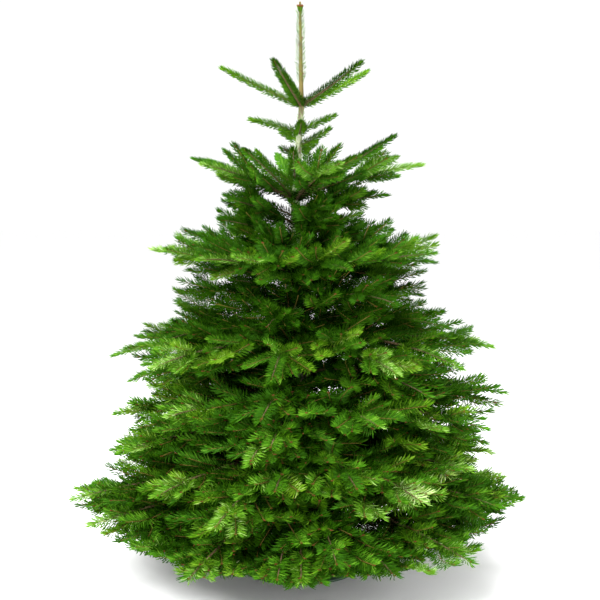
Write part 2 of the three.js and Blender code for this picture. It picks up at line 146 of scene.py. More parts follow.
@dataclass(frozen=True)
class Between:
    """The limbs that fill the gaps of a tier: those midway between its own limbs, and the lesser ones below it.

    Twigs is the seed of the twigs on the tier's own limbs. Midway is the seed of the midway limbs, rise how much
    higher they end, midway_reach their share of the tier's reach, and tilt how much higher still they end on the
    right. Lesser is the seed of the lesser limbs, count their number, turn the place of the first round the trunk,
    and reach their share of the tiers' reach.
    """

    twigs: int
    midway: int = 0
    rise: float = 0.030
    midway_reach: float = 1.0
    lesser: int = 0
    count: int = 0
    turn: float = 0.0
    reach: float = 1.0
    tilt: float = 0.0


BETWEEN = (
    Between(1009),
    Between(9423, 5976, 0.031, 0.96, 722, 8, 105, 0.67, 0.031),
    Between(3729, 3876, 0.005, 0.95, 5734, 8, 200, 0.84, -0.025),
    Between(5057, 7607, -0.020, 0.96, 4830, 7, 115, 0.90),
    Between(5688, 3210, 0.049, 0.98, 4796, 7, 150, 0.95),
    Between(3415, 9428, 0.065, 0.93, 3488, 6, 285, 0.99),
    Between(8727, 9277, 0.035, 0.95, 2111, 9, 250, 0.91, -0.007),
)


class Seeded:
    """Numbers from 0 to 1 that are the same for the same seed."""

    def __init__(self, seed: int) -> None:
        """Starts the row of numbers at a seed."""
        self.state = seed

    @classmethod
    def of(cls, seed: int, step: int = 0, number: int = 0) -> "Seeded":
        """Starts the row of one limb out of several, and leaves out its first number.

        Args:
            seed: The seed that the limbs share.
            step: How far the seeds of two neighbours lie apart.
            number: Which of the limbs.

        Returns:
            The row.
        """
        row = cls(seed + step * (number + 1))
        row.next()
        return row

    def next(self) -> float:
        """Returns the next number: the last state times a factor, its rest by a prime, as a share of the prime."""
        self.state = self.state * SEED_FACTOR % SEED_PRIME
        return self.state / SEED_PRIME

    def around(self, spread: float) -> float:
        """Returns a number from minus the spread to the spread."""
        return spread * (2 * self.next() - 1)


@dataclass(frozen=True)
class Stem:
    """A stem's line: a curve of the second degree with three marks."""

    start: Vector
    middle: Vector
    end: Vector

    def at(self, share: float) -> Vector:
        """Returns start times rest squared plus twice middle times share times rest plus end times share squared."""
        rest = 1 - share
        return self.start * rest**2 + self.middle * (2 * share * rest) + self.end * share**2

    def way(self, share: float) -> Vector:
        """Returns the direction at a share of the stem, which is the curve's tangent."""
        return ((self.middle - self.start) * (1 - share) + (self.end - self.middle) * share).normalized()

    def stretch(self, low: float, high: float) -> "Stem":
        """Works out a part of the stem, whose middle mark is the curve's formula with one share low and one high.

        Args:
            low: The share at which it starts.
            high: The share at which it ends.

        Returns:
            The part, as a stem of the same kind.
        """
        mixed = low * (1 - high) + high * (1 - low)
        middle = self.start * ((1 - low) * (1 - high)) + self.middle * mixed + self.end * (low * high)
        return Stem(self.at(low), middle, self.at(high))

    def length(self) -> float:
        """Returns the sum of two chords, which is near the length of a stem that bends little."""
        half = self.at(0.5)
        return (half - self.start).length + (self.end - half).length


@dataclass(frozen=True)
class Trunk:
    """The trunk: from its flat cut foot on the stand's hub to the tip of the leading shoot."""

    foot: float = 0.0263
    top: float = 1.893
    foot_radius: float = 0.035
    tip_radius: float = 0.0035
    taper: float = 1.1
    flare: float = 0.004
    flare_height: float = 0.070
    sides: int = 56
    rings: int = 620
    collar: float = 0.10
    collar_height: float = 0.013
    roughness: float = 0.035
    ripple_turns: tuple[int, ...] = (2, 3, 5, 7, 9, 13)
    ripple_share: float = 0.35
    ripple_rise: Pair = (60, 260)
    ripple_phase: Pair = (0, 6)
    sway: float = 2
    sway_rise: Pair = (20, 60)
    slow_rise: float = 31
    slow_twist: float = 7
    seed: int = 11

    def radius(self, height: Any) -> Any:
        """Works out the radius: a taper to the tip and a flare that dies away above the foot.

        Args:
            height: One height or an array of them.

        Returns:
            The radius at each height.
        """
        left = (self.top - height) / (self.top - self.foot)
        flare = self.flare * np.exp(-(height - self.foot) / self.flare_height)
        return self.tip_radius + (self.foot_radius - self.tip_radius) * np.maximum(left, 0) ** self.taper + flare

    def lean(self, height: Any) -> tuple[Any, Any]:
        """Works out where the trunk's middle lies: straight from one tier's lean to the next.

        Args:
            height: One height or an array of them.

        Returns:
            How far to the right and how far back it lies.
        """
        heights = [self.foot, *(tier.height for tier in reversed(TIERS)), self.top]
        leans = [TIERS[-1].lean, *(tier.lean for tier in reversed(TIERS)), (0.0, 0.0)]
        return tuple(np.interp(height, heights, [lean[k] for lean in leans]) for k in (0, 1))

    def point(self, height: float) -> Vector:
        """Returns the trunk's middle at a height."""
        return Vector((*(float(k) for k in self.lean(height)), height))

    def surface(self) -> Surface:
        """Works out the trunk's skin.

        The radius at each height is multiplied by one plus a collar at every whorl, a bell curve of the height,
        and plus ripples, a sum of waves in height and angle with seeded phases that sway, and a slow wave. The
        foot and the top are closed by flat faces.

        Returns:
            The vertices and the faces.
        """
        height = np.linspace(self.foot, self.top, self.rings)[:, None]
        angle = np.linspace(0, 2 * np.pi, self.sides, endpoint=False)[None, :]
        collars = sum(np.exp(-(((height - tier.height) / self.collar_height) ** 2)) for tier in TIERS)
        rng = np.random.default_rng(self.seed)
        ripples = np.zeros((self.rings, self.sides))
        for turns in self.ripple_turns:
            wave = rng.uniform(*self.ripple_rise) * height + turns * angle + rng.uniform(*self.ripple_phase)
            sway = self.sway * np.sin(height * rng.uniform(*self.sway_rise))
            ripples += np.sin(wave + sway) / math.sqrt(turns)
        slow = np.sin(height * self.slow_rise) * np.sin(angle + height * self.slow_twist)
        relief = self.roughness * (self.ripple_share * ripples + slow)
        radius = self.radius(height) * (1 + self.collar * collars + relief)
        lean_x, lean_y = self.lean(height)
        across, back = lean_x + radius * np.cos(angle), lean_y + radius * np.sin(angle)
        points = np.stack([across, back, np.broadcast_to(height, radius.shape)], axis=-1)
        return points.reshape(-1, 3), closed_tube_faces(self.rings, self.sides)


def closed_tube_faces(rings: int, sides: int, first: int = 0, looped: bool = False) -> list[Array]:
    """Works out a tube's faces: a square for each step round and along, and a flat face on either end.

    Args:
        rings: Number of rings, from the start to the end.
        sides: Number of corners of a ring, counted to the left as seen from the end.
        first: Index of the first ring's first corner.
        looped: Whether the last ring joins the first one, and there are no ends.

    Returns:
        The squares and the two end faces.
    """
    ring, corner = np.arange(rings if looped else rings - 1)[:, None], np.arange(sides)[None, :]
    here, above, following = ring * sides, (ring + 1) % rings * sides, (corner + 1) % sides
    squares = np.stack([here + corner, here + following, above + following, above + corner], axis=-1)
    squares = squares.reshape(-1, 4) + first
    ends = np.stack([np.arange(sides)[::-1], (rings - 1) * sides + np.arange(sides)]) + first
    return [squares] if looped else [squares, ends]


def unit(vectors: Array) -> Array:
    """Returns the vectors at a length of one."""
    return vectors / np.maximum(np.linalg.norm(vectors, axis=-1, keepdims=True), 1e-12)


def ring_ways(side: Array, upper: Array, corners: int) -> Array:
    """Returns the ways to the corners of rings: the side times the cosine plus the upper side times the sine."""
    angle = np.linspace(0, 2 * np.pi, corners, endpoint=False)
    return side[:, None, :] * np.cos(angle)[None, :, None] + upper[:, None, :] * np.sin(angle)[None, :, None]


def square_to(way: Array, steep: float, level: Triple) -> Array:
    """Returns directions square to each way and to the upright, or to a level direction where the way is steep."""
    reference = np.where(np.abs(way[:, 2:3]) > steep, np.array([level]), np.array([[0.0, 0.0, 1.0]]))
    return unit(np.cross(way, reference))


def turned(points: Array, azimuth: float) -> Array:
    """Turns points about the upright axis.

    Args:
        points: The points.
        azimuth: How far to the left they are turned, in degrees.

    Returns:
        The turned points.
    """
    angle = math.radians(azimuth)
    rotation = np.array([[math.cos(angle), -math.sin(angle), 0], [math.sin(angle), math.cos(angle), 0], [0, 0, 1]])
    return points @ rotation.T


def level_way(azimuth: float) -> Vector:
    """Returns the level direction at an azimuth in degrees."""
    return Matrix.Rotation(math.radians(azimuth), 3, "Z") @ Vector((1, 0, 0))


@dataclass(frozen=True)
class Dress:
    """How needles stand on a shoot: how many a metre, how long, how far they lean out, and how far round.

    Lean is the angle between shoot and needle, at the shoot's root and tip, and spread the angle from the upper
    side over which needles are found. The lower crowd is, the more of them stand at the sides, as in a comb. Wood is
    the place of the shoot's bark on the row of browns.
    """

    density: float = 900
    length: float = 0.030
    lean_root: float = 66
    lean_tip: float = 42
    spread: float = 122
    wood: int = 0
    crowd: float = 0.74


class Age(Enum):
    """Dress of a shoot by its age, and of the stretches of the trunk that bear needles."""

    FRESH = Dress()
    SECOND = Dress(density=820, length=0.029, lean_root=70, lean_tip=54, wood=1)
    OLD = Dress(density=520, length=0.027, lean_root=74, lean_tip=60, wood=2)
    BARE = Dress(density=150, length=0.024, lean_root=70, lean_tip=60, wood=3)
    TOP = Dress(density=1700, length=0.028, lean_root=56, lean_tip=40, spread=140, crowd=0.8)
    UPPER = Dress(density=1450, length=0.028, lean_root=58, lean_tip=40, spread=134, crowd=0.8)
    UPPER_SECOND = Dress(density=1000, length=0.027, lean_root=64, lean_tip=50, spread=134, wood=1, crowd=0.8)
    LOW = Dress(density=640, length=0.037, lean_root=70, lean_tip=44, spread=112, crowd=0.44)
    LOW_SECOND = Dress(density=560, length=0.035, lean_root=74, lean_tip=56, spread=112, wood=1, crowd=0.44)
    LEADER = Dress(density=640, length=0.022, lean_root=50, lean_tip=40, spread=180)
    CROWN = Dress(density=2200, length=0.015, lean_root=40, lean_tip=16, spread=180)
    STUBBLE = Dress(density=560, length=0.015, lean_root=50, lean_tip=50, spread=180, wood=1)

    @staticmethod
    def of(years: int, level: int) -> Dress:
        """Picks the dress of a shoot on a tier.

        Args:
            years: The shoot's years, from 1 for one of the last year.
            level: The tier.

        Returns:
            The dress.
        """
        row = (Age.LOW, Age.LOW_SECOND) if level >= FIRST_LOW_TIER else (Age.FRESH, Age.SECOND)
        row = {0: (Age.TOP,), 1: (Age.UPPER, Age.UPPER_SECOND)}.get(level, (*row, Age.OLD, Age.BARE))
        return row[min(years, len(row)) - 1].value


@dataclass
class Growth:
    """What grows on the tree, gathered as rows of numbers: shoots with their needles, and buds."""

    shoots: list[tuple[float, ...]] = field(default_factory=list)
    buds: list[tuple[float, ...]] = field(default_factory=list)

    def shoot(
        self, stem: Stem, radii: Pair, dress: Dress, tint: float, level: int, roll: float = 0.0, warm: bool = False,
    ) -> None:
        """Adds one year's shoot.

        Args:
            stem: The shoot's line.
            radii: Its thickness at the start and at the end.
            dress: How its needles stand.
            tint: Its place on the row of greens, from 0, the darkest.
            level: The tier that it belongs to.
            roll: How far its needles are turned about it, in degrees.
            warm: Whether its greens are warm.
        """
        density = dress.density * TIERS[level].fullness
        self.shoots.append(
            (*stem.start, *stem.middle, *stem.end, *radii, density, dress.length, dress.lean_root,
             dress.lean_tip, dress.spread, tint, level, stem.length(), dress.wood, roll, dress.crowd, warm)
        )

    def bud(self, place: Vector, way: Vector, length: float) -> None:
        """Adds a bud that points a way from a place."""
        self.buds.append((*place, *way, length))


@dataclass(frozen=True)
class Habit:
    """How stems branch.

    Side twigs take their headings from the row in turn, their lifts too, and a share of their parent's growth by its
    order. A limb has a pair halfway along its shoots of halfway_ages too. Upright ones have a heading and a lift
    each. Nearer the trunk than inner_share the twigs of a limb of at least old_limb years stay small. A twig starts
    along its heading, turns forward and curls up, sags by its tier's droop, and is left out where it would have to
    be pressed too far to keep to its own space.
    """

    headings: tuple[float, ...] = (60, 53, 47, 42, 38)
    lifts: tuple[float, ...] = (-5, 6, -2)
    share: Pair = (0.86, 0.70)
    upright: tuple[Pair, ...] = ((14, 36), (-16, -34), (38, 20), (-40, -22))
    upright_share: float = 0.58
    halfway_share: float = 0.5
    halfway_ages: tuple[int, ...] = (2, 3)
    steeper_on_top: float = 14
    inner_share: float = 0.30
    inner_size: float = 0.5
    old_limb: int = 4
    roll_chance: float = 42
    roll_kept: float = 0.6
    warm_share: float = 0.38
    shoot_length: float = 0.128
    years_chance: float = 0.12
    turn_forward: float = 0.24
    curl: float = 0.05
    sag_at_tip: float = 0.8
    bend_kept: float = 0.35
    heading_chance: float = 8
    lift_chance: float = 7
    length_chance: float = 0.14
    tint_chance: float = 0.35
    tint_chance_down: float = 0.3
    thinner: float = 0.6
    shortest: float = 0.030
    shortest_wanted: float = 0.05
    room_steps: int = 8
    room_step: float = 0.84
    slack: float = 0.020
    headroom: float = 0.12
    most_pressed: float = 0.62
    clear_of_trunk: float = 0.03

    def crowded(self, share: float, years: int) -> bool:
        """Tells whether a place on a limb of so many years lies so near the trunk that its twigs stay small."""
        return share < self.inner_share and years >= self.old_limb


@dataclass
class Limb:
    """A limb on the trunk and what all its twigs share: its tier, its seeded numbers and its part of the height.

    Low and high tell how far down to the next tier and up to the one before its twigs may go, as shares.
    """

    stem: Stem
    radius: float
    years: int
    level: int
    chance: Seeded
    tint: float
    low: float = 0.5
    high: float = 0.5

    def within_reach(self, point: Vector, habit: Habit) -> bool:
        """Tells whether a point is clear of the trunk and no further out than the tier reaches."""
        reach = TIERS[self.level].reach_at(math.atan2(point.y, point.x))
        return habit.clear_of_trunk < math.hypot(point.x, point.y) < reach

    def pressed(self, point: Vector, habit: Habit) -> Vector:
        """Moves a point up or down into the space that the limb's twigs may fill.

        Args:
            point: The point.
            habit: The branching, with the slack above and below.

        Returns:
            The point, above the lowest foliage and no further up or down than the limb's shares of the way to the
            next tiers.
        """
        distance, azimuth = math.hypot(point.x, point.y), math.atan2(point.y, point.x)
        tier = TIERS[self.level]
        here = tier.height_at(distance, azimuth)
        above, below = here + habit.headroom, LOWEST_FOLIAGE
        if self.level:
            above = TIERS[self.level - 1].height_at(distance, azimuth)
        if self.level + 1 < len(TIERS):
            below = TIERS[self.level + 1].height_at(distance, azimuth)
        rising = tier.side_rise * (math.cos(azimuth) * min(1.0, distance / tier.reach[2])) ** 2
        lowest = max(LOWEST_FOLIAGE + habit.slack + rising, here + (below - here) * self.low - habit.slack)
        highest = here + (above - here) * self.high + habit.slack
        return Vector((point.x, point.y, min(max(point.z, lowest), highest)))


@dataclass(frozen=True)
class Parent:
    """A stem that bears side twigs.

    Order is 0 for a limb, radius that at its root, tint its place on the row of greens, roll the angle in degrees by
    which its spray is turned out of the level, and warm tells whether the spray's greens are warm.
    """

    stem: Stem
    order: int
    radius: float
    tint: float
    roll: float = 0.0
    warm: bool = False
    tip_radius: float = 0.0012

    def radius_at(self, share: float) -> float:
        """Returns the radius at a share of the stem."""
        return self.radius + (self.tip_radius - self.radius) * share


@dataclass(frozen=True)
class Midway:
    """What a limb midway between two of a tier's own leaves to chance, and how it differs from them, such as the
    painted shade that sets its green back on the row of greens.
    """

    turn_chance: float = 9
    height_chance: float = 0.012
    tip_chance: float = 0.03
    steeper: float = 4
    painted_shade: float = 0.2


@dataclass(frozen=True)
class Lesser:
    """How lesser limbs stand below a tier, and what they leave to chance.

    Their places are spread evenly over a span from low, where 0 is the next tier down and 1 the tier above them.
    Rise and radius are shares of what a tier's own limb would have there. Those under the third tier and lower
    down take painted shade on the row of greens.
    """

    low: float = 0.18
    span: float = 0.62
    place_chance: float = 0.04
    turn_chance: float = 10
    reach_chance: float = 0.08
    steeper: float = 3
    rise: float = 0.7
    radius: float = 0.7
    painted_shade: float = 0.45


@dataclass(frozen=True)
class Inner:
    """Short twigs that hide the trunk, dark with painted shade, with slope and rise between tiers (rising) and
    below them (hanging).
    """

    count: int = 12
    seed: int = 20000
    seed_step: int = 700
    low: float = 0.1
    span: float = 0.8
    turn: float = -100
    turn_chance: float = 15
    reach: float = 0.23
    reach_chance: float = 0.3
    radius: float = 0.003
    years: int = 2
    tint_chance: float = 0.4
    painted_shade: float = 0.4
    rising: Pair = (26, 0.3)
    hanging: Pair = (-12, -0.2)


@dataclass(frozen=True)
class TopTwigs:
    """Short twigs between and under the two upper whorls, each a height, an azimuth, a reach and a rise."""

    slope: float = 20
    radius: float = 0.0022
    tint: float = 1.3
    seed: int = 300
    rows: tuple[tuple[float, float, float, float], ...] = (
        (1.467, 178, 0.152, 0.043), (1.477, 8, 0.108, 0.045), (1.425, -18, 0.098, 0.050), (1.462, -86, 0.085, 0.034),
        (1.402, 60, 0.110, 0.040), (1.440, 118, 0.120, 0.040), (1.392, -140, 0.060, 0.022),
        (1.300, 168, 0.125, 0.100), (1.310, 24, 0.135, 0.098), (1.300, -94, 0.110, 0.105),
    )


@dataclass(frozen=True)
class Shade:
    """What makes a shoot's green lighter or deeper on the row of greens: painted light and shade, and age.

    The weight outward is painted light that the crown's skin adds, which leaves the crown's inside in
    painted shade, and less_high_up the share of it that the top takes off again. The weight upward is
    painted light that the top adds, and low is painted shade taken off near the floor, up to low_height.
    By_age is what shoots of one, two and more years add, the needles' own colour by age. A shoot's place
    is taken at seen_at, a share of it.
    """

    base: float = -0.2
    painted_light_outward: float = 4.1
    less_high_up: float = 0.25
    painted_light_upward: float = 1.8
    low: float = 1.9
    low_height: float = 0.30
    by_age: Triple = (1.8, -0.3, -1.5)
    most: float = 6.7
    seen_at: float = 0.7


@dataclass(frozen=True)
class Thinning:
    """How the needles' density changes across the lower tiers: fewer nearer the trunk than hidden, more beyond skin."""

    first_tier: int = 3
    hidden: float = 0.52
    hidden_density: float = 0.72
    skin: float = 0.78
    skin_density: float = 1.25


@dataclass(frozen=True)
class TipBuds:
    """The buds at a stem's end: one on the end, and one to either hand that turns outwards."""

    from_share: float = 0.62
    length: float = 0.0070
    side_length: float = 0.0056
    side_place: float = 0.0018
    side_turn: float = 0.75
    lift_chance: float = 0.2


@dataclass(frozen=True)
class Leader:
    """The trunk's young stretches, and the leading shoot's buds.

    There is a bud on the tip, a ring of them round it, and a row that winds down the shoot. A stretch tells from
    which mark it starts and how far above, at which mark it ends and how far above, its needles' dress, and their
    place on the row of greens. Mark 0 is the tip, and the others are tiers, counted from 1.
    """

    tip_drop: float = 0.012
    tip_bud: float = 0.0120
    ring: int = 6
    ring_turn: float = 20
    ring_out: float = 0.0036
    ring_drop: float = 0.0046
    ring_lean: float = 1.1
    ring_bud: float = 0.0110
    row: int = 9
    row_low: float = 0.09
    row_span: float = 0.21
    row_out: float = 0.0050
    row_lift: float = 0.8
    row_bud: float = 0.0075
    stretches: tuple[tuple[int, float, int, float, Age, float], ...] = (
        (1, 0.07, 0, -0.012, Age.LEADER, 4.6),
        (0, -0.026, 0, -0.006, Age.CROWN, 4.2),
        (1, 0.004, 1, 0.020, Age.CROWN, 4.2),
        (2, 0.03, 1, -0.012, Age.STUBBLE, 5.6),
        (3, 0.04, 2, -0.012, Age.STUBBLE, 4.4),
    )


@dataclass
class Crown:
    """The crown: limbs in tiers, lesser limbs between them, and all that branches from both.

    Lowest stands for the tier that would come after the last one. Tier_seed lies between the seeds of two tiers, and
    the steps lie between the seeds of two neighbours among a tier's limbs, their twigs, the midway and lesser limbs.
    """

    trunk: Trunk
    habit: Habit = field(default_factory=Habit)
    growth: Growth = field(default_factory=Growth)
    limbs: list[Limb] = field(default_factory=list)
    between: tuple[Between, ...] = BETWEEN
    midway: Midway = Midway()
    lesser: Lesser = Lesser()
    inner: Inner = Inner()
    top_twigs: TopTwigs = TopTwigs()
    shade: Shade = Shade()
    thinning: Thinning = Thinning()
    buds: TipBuds = TipBuds()
    leader: Leader = Leader()
    lowest: Tier = Tier(0.195, 2, 0.150, (0.790, 0.780, 0.720), 0, 5, (0.001, -0.002))
    tier_seed: int = 1000
    limb_step: int = 37
    twig_step: int = 41
    midway_step: int = 29
    lesser_step: int = 31
    root_radius: float = 0.0042
    radius_per_year: float = 0.0011
    turn_chance: float = 5
    reach_chance: float = 0.03
    tip_chance: float = 0.012
    tint_chance: float = 0.5

    def grow(self) -> None:
        """Grows the limbs of all tiers, those between and below them, and the trunk's own needles."""
        for level in range(len(TIERS)):
            for number in range(LIMBS_A_TIER):
                self.grow_limb(level, number)
                if level:
                    self.grow_midway(level, number)
        for level in range(1, len(TIERS)):
            for number in range(self.between[level].count):
                self.grow_lesser(level, number)
            self.grow_inner(level)
        top = self.top_twigs
        for number, (height, azimuth, reach, rise) in enumerate(top.rows):
            stem = self.limb_stem(height, math.radians(azimuth), reach, top.slope, height + rise)
            self.add(Limb(stem, top.radius, 1, 0, Seeded(top.seed + number), top.tint))
        self.dress_trunk()

    def limb_stem(self, height: float, azimuth: float, reach: float, slope: float, tip: float) -> Stem:
        """Works out the line of a limb, whose middle mark lies halfway out on the slope.

        Args:
            height: Where it leaves the trunk's middle.
            azimuth: Its direction round the trunk, in radians.
            reach: How far out its end lies.
            slope: The angle at which it leaves, in degrees.
            tip: The height of its end.

        Returns:
            The limb's stem.
        """
        out = Vector((math.cos(azimuth), math.sin(azimuth), 0))
        root = self.trunk.point(height)
        middle = root + out * (reach / 2) + UP * (math.tan(math.radians(slope)) * reach / 2)
        end = root + out * reach
        end.z = tip
        return Stem(root, middle, end)

    def add(self, limb: Limb) -> None:
        """Keeps a limb and grows its twigs."""
        self.limbs.append(limb)
        self.grow_stem(limb, Parent(limb.stem, 0, limb.radius, limb.tint, warm=limb.level == 0), limb.years)

    def radius_of(self, years: int) -> float:
        """Returns the radius at the root of a limb of so many years."""
        return self.root_radius + self.radius_per_year * years

    def low_of(self, level: int) -> float:
        """Returns how far down a tier's twigs may go: all the way below the lowest tier, and else halfway."""
        return 1.0 if level + 1 == len(TIERS) else 0.5

    def grow_limb(self, level: int, number: int) -> None:
        """Grows one limb of a tier, from the same seed as its solid.

        Args:
            level: The tier.
            number: Which of its limbs.
        """
        tier = TIERS[level]
        chance = Seeded.of(self.tier_seed * (level + 1), self.limb_step, number)
        azimuth = math.radians(tier.turn + 360 / LIMBS_A_TIER * number + chance.around(self.turn_chance))
        reach = tier.reach_at(azimuth) * (1 + chance.around(self.reach_chance))
        tip = tier.tip_at(azimuth) + chance.around(self.tip_chance)
        stem = self.limb_stem(tier.height, azimuth, reach, tier.slope, tip)
        chance = Seeded.of(self.between[level].twigs, self.twig_step, number)
        tint = chance.around(self.tint_chance)
        self.add(Limb(stem, self.radius_of(tier.years), tier.years, level, chance, tint, low=self.low_of(level)))

    def grow_midway(self, level: int, number: int) -> None:
        """Grows a limb of a tier midway between two of its own limbs.

        Args:
            level: The tier.
            number: Which of the midway limbs.
        """
        tier, between, midway = TIERS[level], self.between[level], self.midway
        chance = Seeded.of(between.midway, self.midway_step, number)
        azimuth = math.radians(tier.turn + 360 / LIMBS_A_TIER * (number + 0.5) + chance.around(midway.turn_chance))
        reach = tier.reach_at(azimuth) * (1 + chance.around(self.reach_chance)) * between.midway_reach
        height = tier.height + chance.around(midway.height_chance)
        higher = between.tilt * math.cos(azimuth)
        tip = tier.tip_at(azimuth) + between.rise + higher + chance.around(midway.tip_chance)
        stem = self.limb_stem(height, azimuth, reach, tier.slope + midway.steeper, tip)
        # Painted shade sets the midway limb's green back on the row of greens.
        years, tint = max(1, tier.years - 1), chance.around(self.tint_chance) - midway.painted_shade
        radius = self.radius_of(tier.years - 1)
        self.add(Limb(stem, radius, years, level, chance, tint, low=self.low_of(level)))

    def grow_lesser(self, level: int, number: int) -> None:
        """Grows a lesser limb between a tier and the next one down, or the lowest limbs' place.

        Its reach, height, rise and slope are a mixture of both tiers' by its place between them.

        Args:
            level: The tier above it.
            number: Which of the lesser limbs.
        """
        between, lesser = self.between[level], self.lesser
        chance = Seeded.of(between.lesser, self.lesser_step, number)
        upper, lower = TIERS[level], (*TIERS, self.lowest)[level + 1]
        place = lesser.low + lesser.span * (number + 0.5) / between.count + chance.around(lesser.place_chance)
        azimuth = math.radians(GOLDEN_TURN * number + between.turn + chance.around(lesser.turn_chance))
        reach = upper.reach_at(azimuth) * place + lower.reach_at(azimuth) * (1 - place)
        reach *= between.reach * (1 + chance.around(lesser.reach_chance))
        height = lower.height + (upper.height - lower.height) * place
        rise = (upper.tip_at(azimuth) - upper.height) * place + (lower.tip_at(azimuth) - lower.height) * (1 - place)
        slope = upper.slope * place + lower.slope * (1 - place) + lesser.steeper
        stem = self.limb_stem(height, azimuth, reach, slope, height + rise * lesser.rise)
        # Under the third tier and lower down, painted shade sets the lesser limb's green back on the row of greens.
        tint = chance.around(self.tint_chance) - lesser.painted_shade * (level > 1)
        radius, tier = lesser.radius * self.radius_of(upper.years), min(level + 1, len(TIERS) - 1)
        self.add(Limb(stem, radius, upper.years, tier, chance, tint, low=float(level == tier), high=1.0))

    def grow_inner(self, level: int) -> None:
        """Grows short twigs from the trunk between a tier and the next one down, which hang below the last. They are
        dark with painted shade.

        Args:
            level: The tier above them.
        """
        inner = self.inner
        chance = Seeded.of(inner.seed + inner.seed_step * level)
        last = level + 1 == len(TIERS)
        slope, rise = inner.hanging if last else inner.rising
        tier, low = (level, 1.0) if last else (level + 1, 0.0)
        upper, lower = TIERS[level], (*TIERS, self.lowest)[level + 1]
        for number in range(inner.count):
            place = inner.low + inner.span * (number + 0.5) / inner.count
            height = lower.height + (upper.height - lower.height) * place
            azimuth = math.radians(inner.turn + GOLDEN_TURN * number + chance.around(inner.turn_chance))
            reach = inner.reach * (1 + chance.around(inner.reach_chance))
            stem = self.limb_stem(height, azimuth, reach, slope, height + reach * rise)
            # Painted shade sets the inner twig's green back on the row of greens.
            tint = chance.around(inner.tint_chance) - inner.painted_shade
            self.add(Limb(stem, inner.radius, inner.years, tier, chance, tint, low=low, high=1.0))

    def grow_stem(self, limb: Limb, stem: Parent, years: int) -> None:
        """Divides a stem into shoots of about one length, and grows side twigs where they meet.

        Args:
            limb: Its limb.
            stem: The stem.
            years: Its age, the most shoots that it can have.
        """
        habit, chance, line = self.habit, limb.chance, stem.stem
        years = max(1, min(years, round(line.length() / habit.shoot_length)))
        lengths = [1 + chance.around(habit.years_chance) for _ in range(years)]
        marks = [sum(lengths[:i]) / sum(lengths) for i in range(years + 1)]
        own = stem.tint + chance.around(min(1.0, habit.tint_chance + habit.tint_chance_down * limb.level))
        for i in range(years):
            age = years - i
            part = line.stretch(marks[i], marks[i + 1])
            radii = (stem.radius_at(marks[i]), stem.radius_at(marks[i + 1]))
            dress = self.thinned(Age.of(age, limb.level), part, limb.level)
            tint = self.tint_of(part, age, own, limb.level)
            self.growth.shoot(part, radii, dress, tint, limb.level, stem.roll, stem.warm)
            if i and stem.order < len(habit.share):
                self.grow_whorl(limb, stem, marks[i], i, age)
            if stem.order == 0 and age in habit.halfway_ages:
                self.grow_pair(limb, stem, (marks[i] + marks[i + 1]) / 2, i, age - 1, habit.halfway_share)
        self.tip_buds(limb, stem)

    def thinned(self, dress: Dress, part: Stem, level: int) -> Dress:
        """Gives a shoot fewer needles in the crown's hidden inner part and more near its skin.

        Args:
            dress: The dress of the shoot's age.
            part: The shoot's line.
            level: Its tier.

        Returns:
            The shoot's dress.
        """
        thinning, out = self.thinning, TIERS[level].share_of_reach(part.at(0.5))
        if level < thinning.first_tier or thinning.hidden < out < thinning.skin:
            return dress
        share = thinning.skin_density if out > thinning.hidden else thinning.hidden_density
        return replace(dress, density=dress.density * share)

    def tint_of(self, part: Stem, age: int, own: float, level: int) -> float:
        """Works out a shoot's place on the row of greens: painted light towards the crown's skin and higher up,
        painted shade deep in the crown and near the floor, and lighter where the shoot is fresh.

        It is the sum of the base, the cube of how far out the shoot lies, the cube of how high, less how near the
        floor, each times its weight, and of what the tier, the shoot's age and its own tint add. The first three
        terms are painted light and shade.

        Args:
            part: The shoot's line.
            age: Its years.
            own: Its own tint.
            level: Its tier.

        Returns:
            The place, from 0, the darkest.
        """
        shade, place = self.shade, part.at(self.shade.seen_at)
        out = min(1.0, TIERS[level].share_of_reach(place))
        high, low = place.z / self.trunk.top, max(0.0, 1 - place.z / shade.low_height)
        own += TIERS[level].light + shade.by_age[min(age, len(shade.by_age)) - 1]
        # Painted light towards the crown's skin and on top, painted shade near the floor and deep inside the crown.
        painted_light_outward = shade.painted_light_outward * out**3 * (1 - shade.less_high_up * high**2)
        return min(shade.most, shade.base + painted_light_outward + shade.painted_light_upward * high**3 - shade.low * low + own)

    def grow_whorl(self, limb: Limb, stem: Parent, share: float, place: int, age: int) -> None:
        """Grows a pair of side twigs, and on a limb some that rise and some that hang.

        Args:
            limb: Their limb.
            stem: Their stem.
            share: Where on the stem.
            place: How many years' shoots lie before it.
            age: Their years.
        """
        habit = self.habit
        self.grow_pair(limb, stem, share, place, age, 1.0)
        if stem.order == 0 and not habit.crowded(share, limb.years):
            steeper = habit.steeper_on_top if limb.level == 1 else 0.0
            for heading, lift in habit.upright:
                hand = -1 if limb.chance.next() < 0.5 else 1
                self.grow_twig(limb, stem, share, (hand * heading, lift + steeper), age, habit.upright_share)

    def grow_pair(self, limb: Limb, stem: Parent, share: float, place: int, age: int, size: float) -> None:
        """Grows a side twig to either hand, tilted by a part of the stem's roll.

        Args:
            limb: Their limb.
            stem: Their stem.
            share: Where on the stem.
            place: How many years' shoots lie before it.
            age: Their years.
            size: A share of what side twigs grow there otherwise.
        """
        habit = self.habit
        heading = habit.headings[min(place, len(habit.headings)) - 1]
        lift = habit.lifts[place % len(habit.lifts)]
        size *= habit.share[stem.order]
        if stem.order == 0 and habit.crowded(share, limb.years):
            size *= habit.inner_size
        tilt = habit.roll_kept * stem.roll * math.sin(math.radians(heading))
        for hand in (-1, 1):
            self.grow_twig(limb, stem, share, (hand * heading, lift - hand * tilt), age, size)

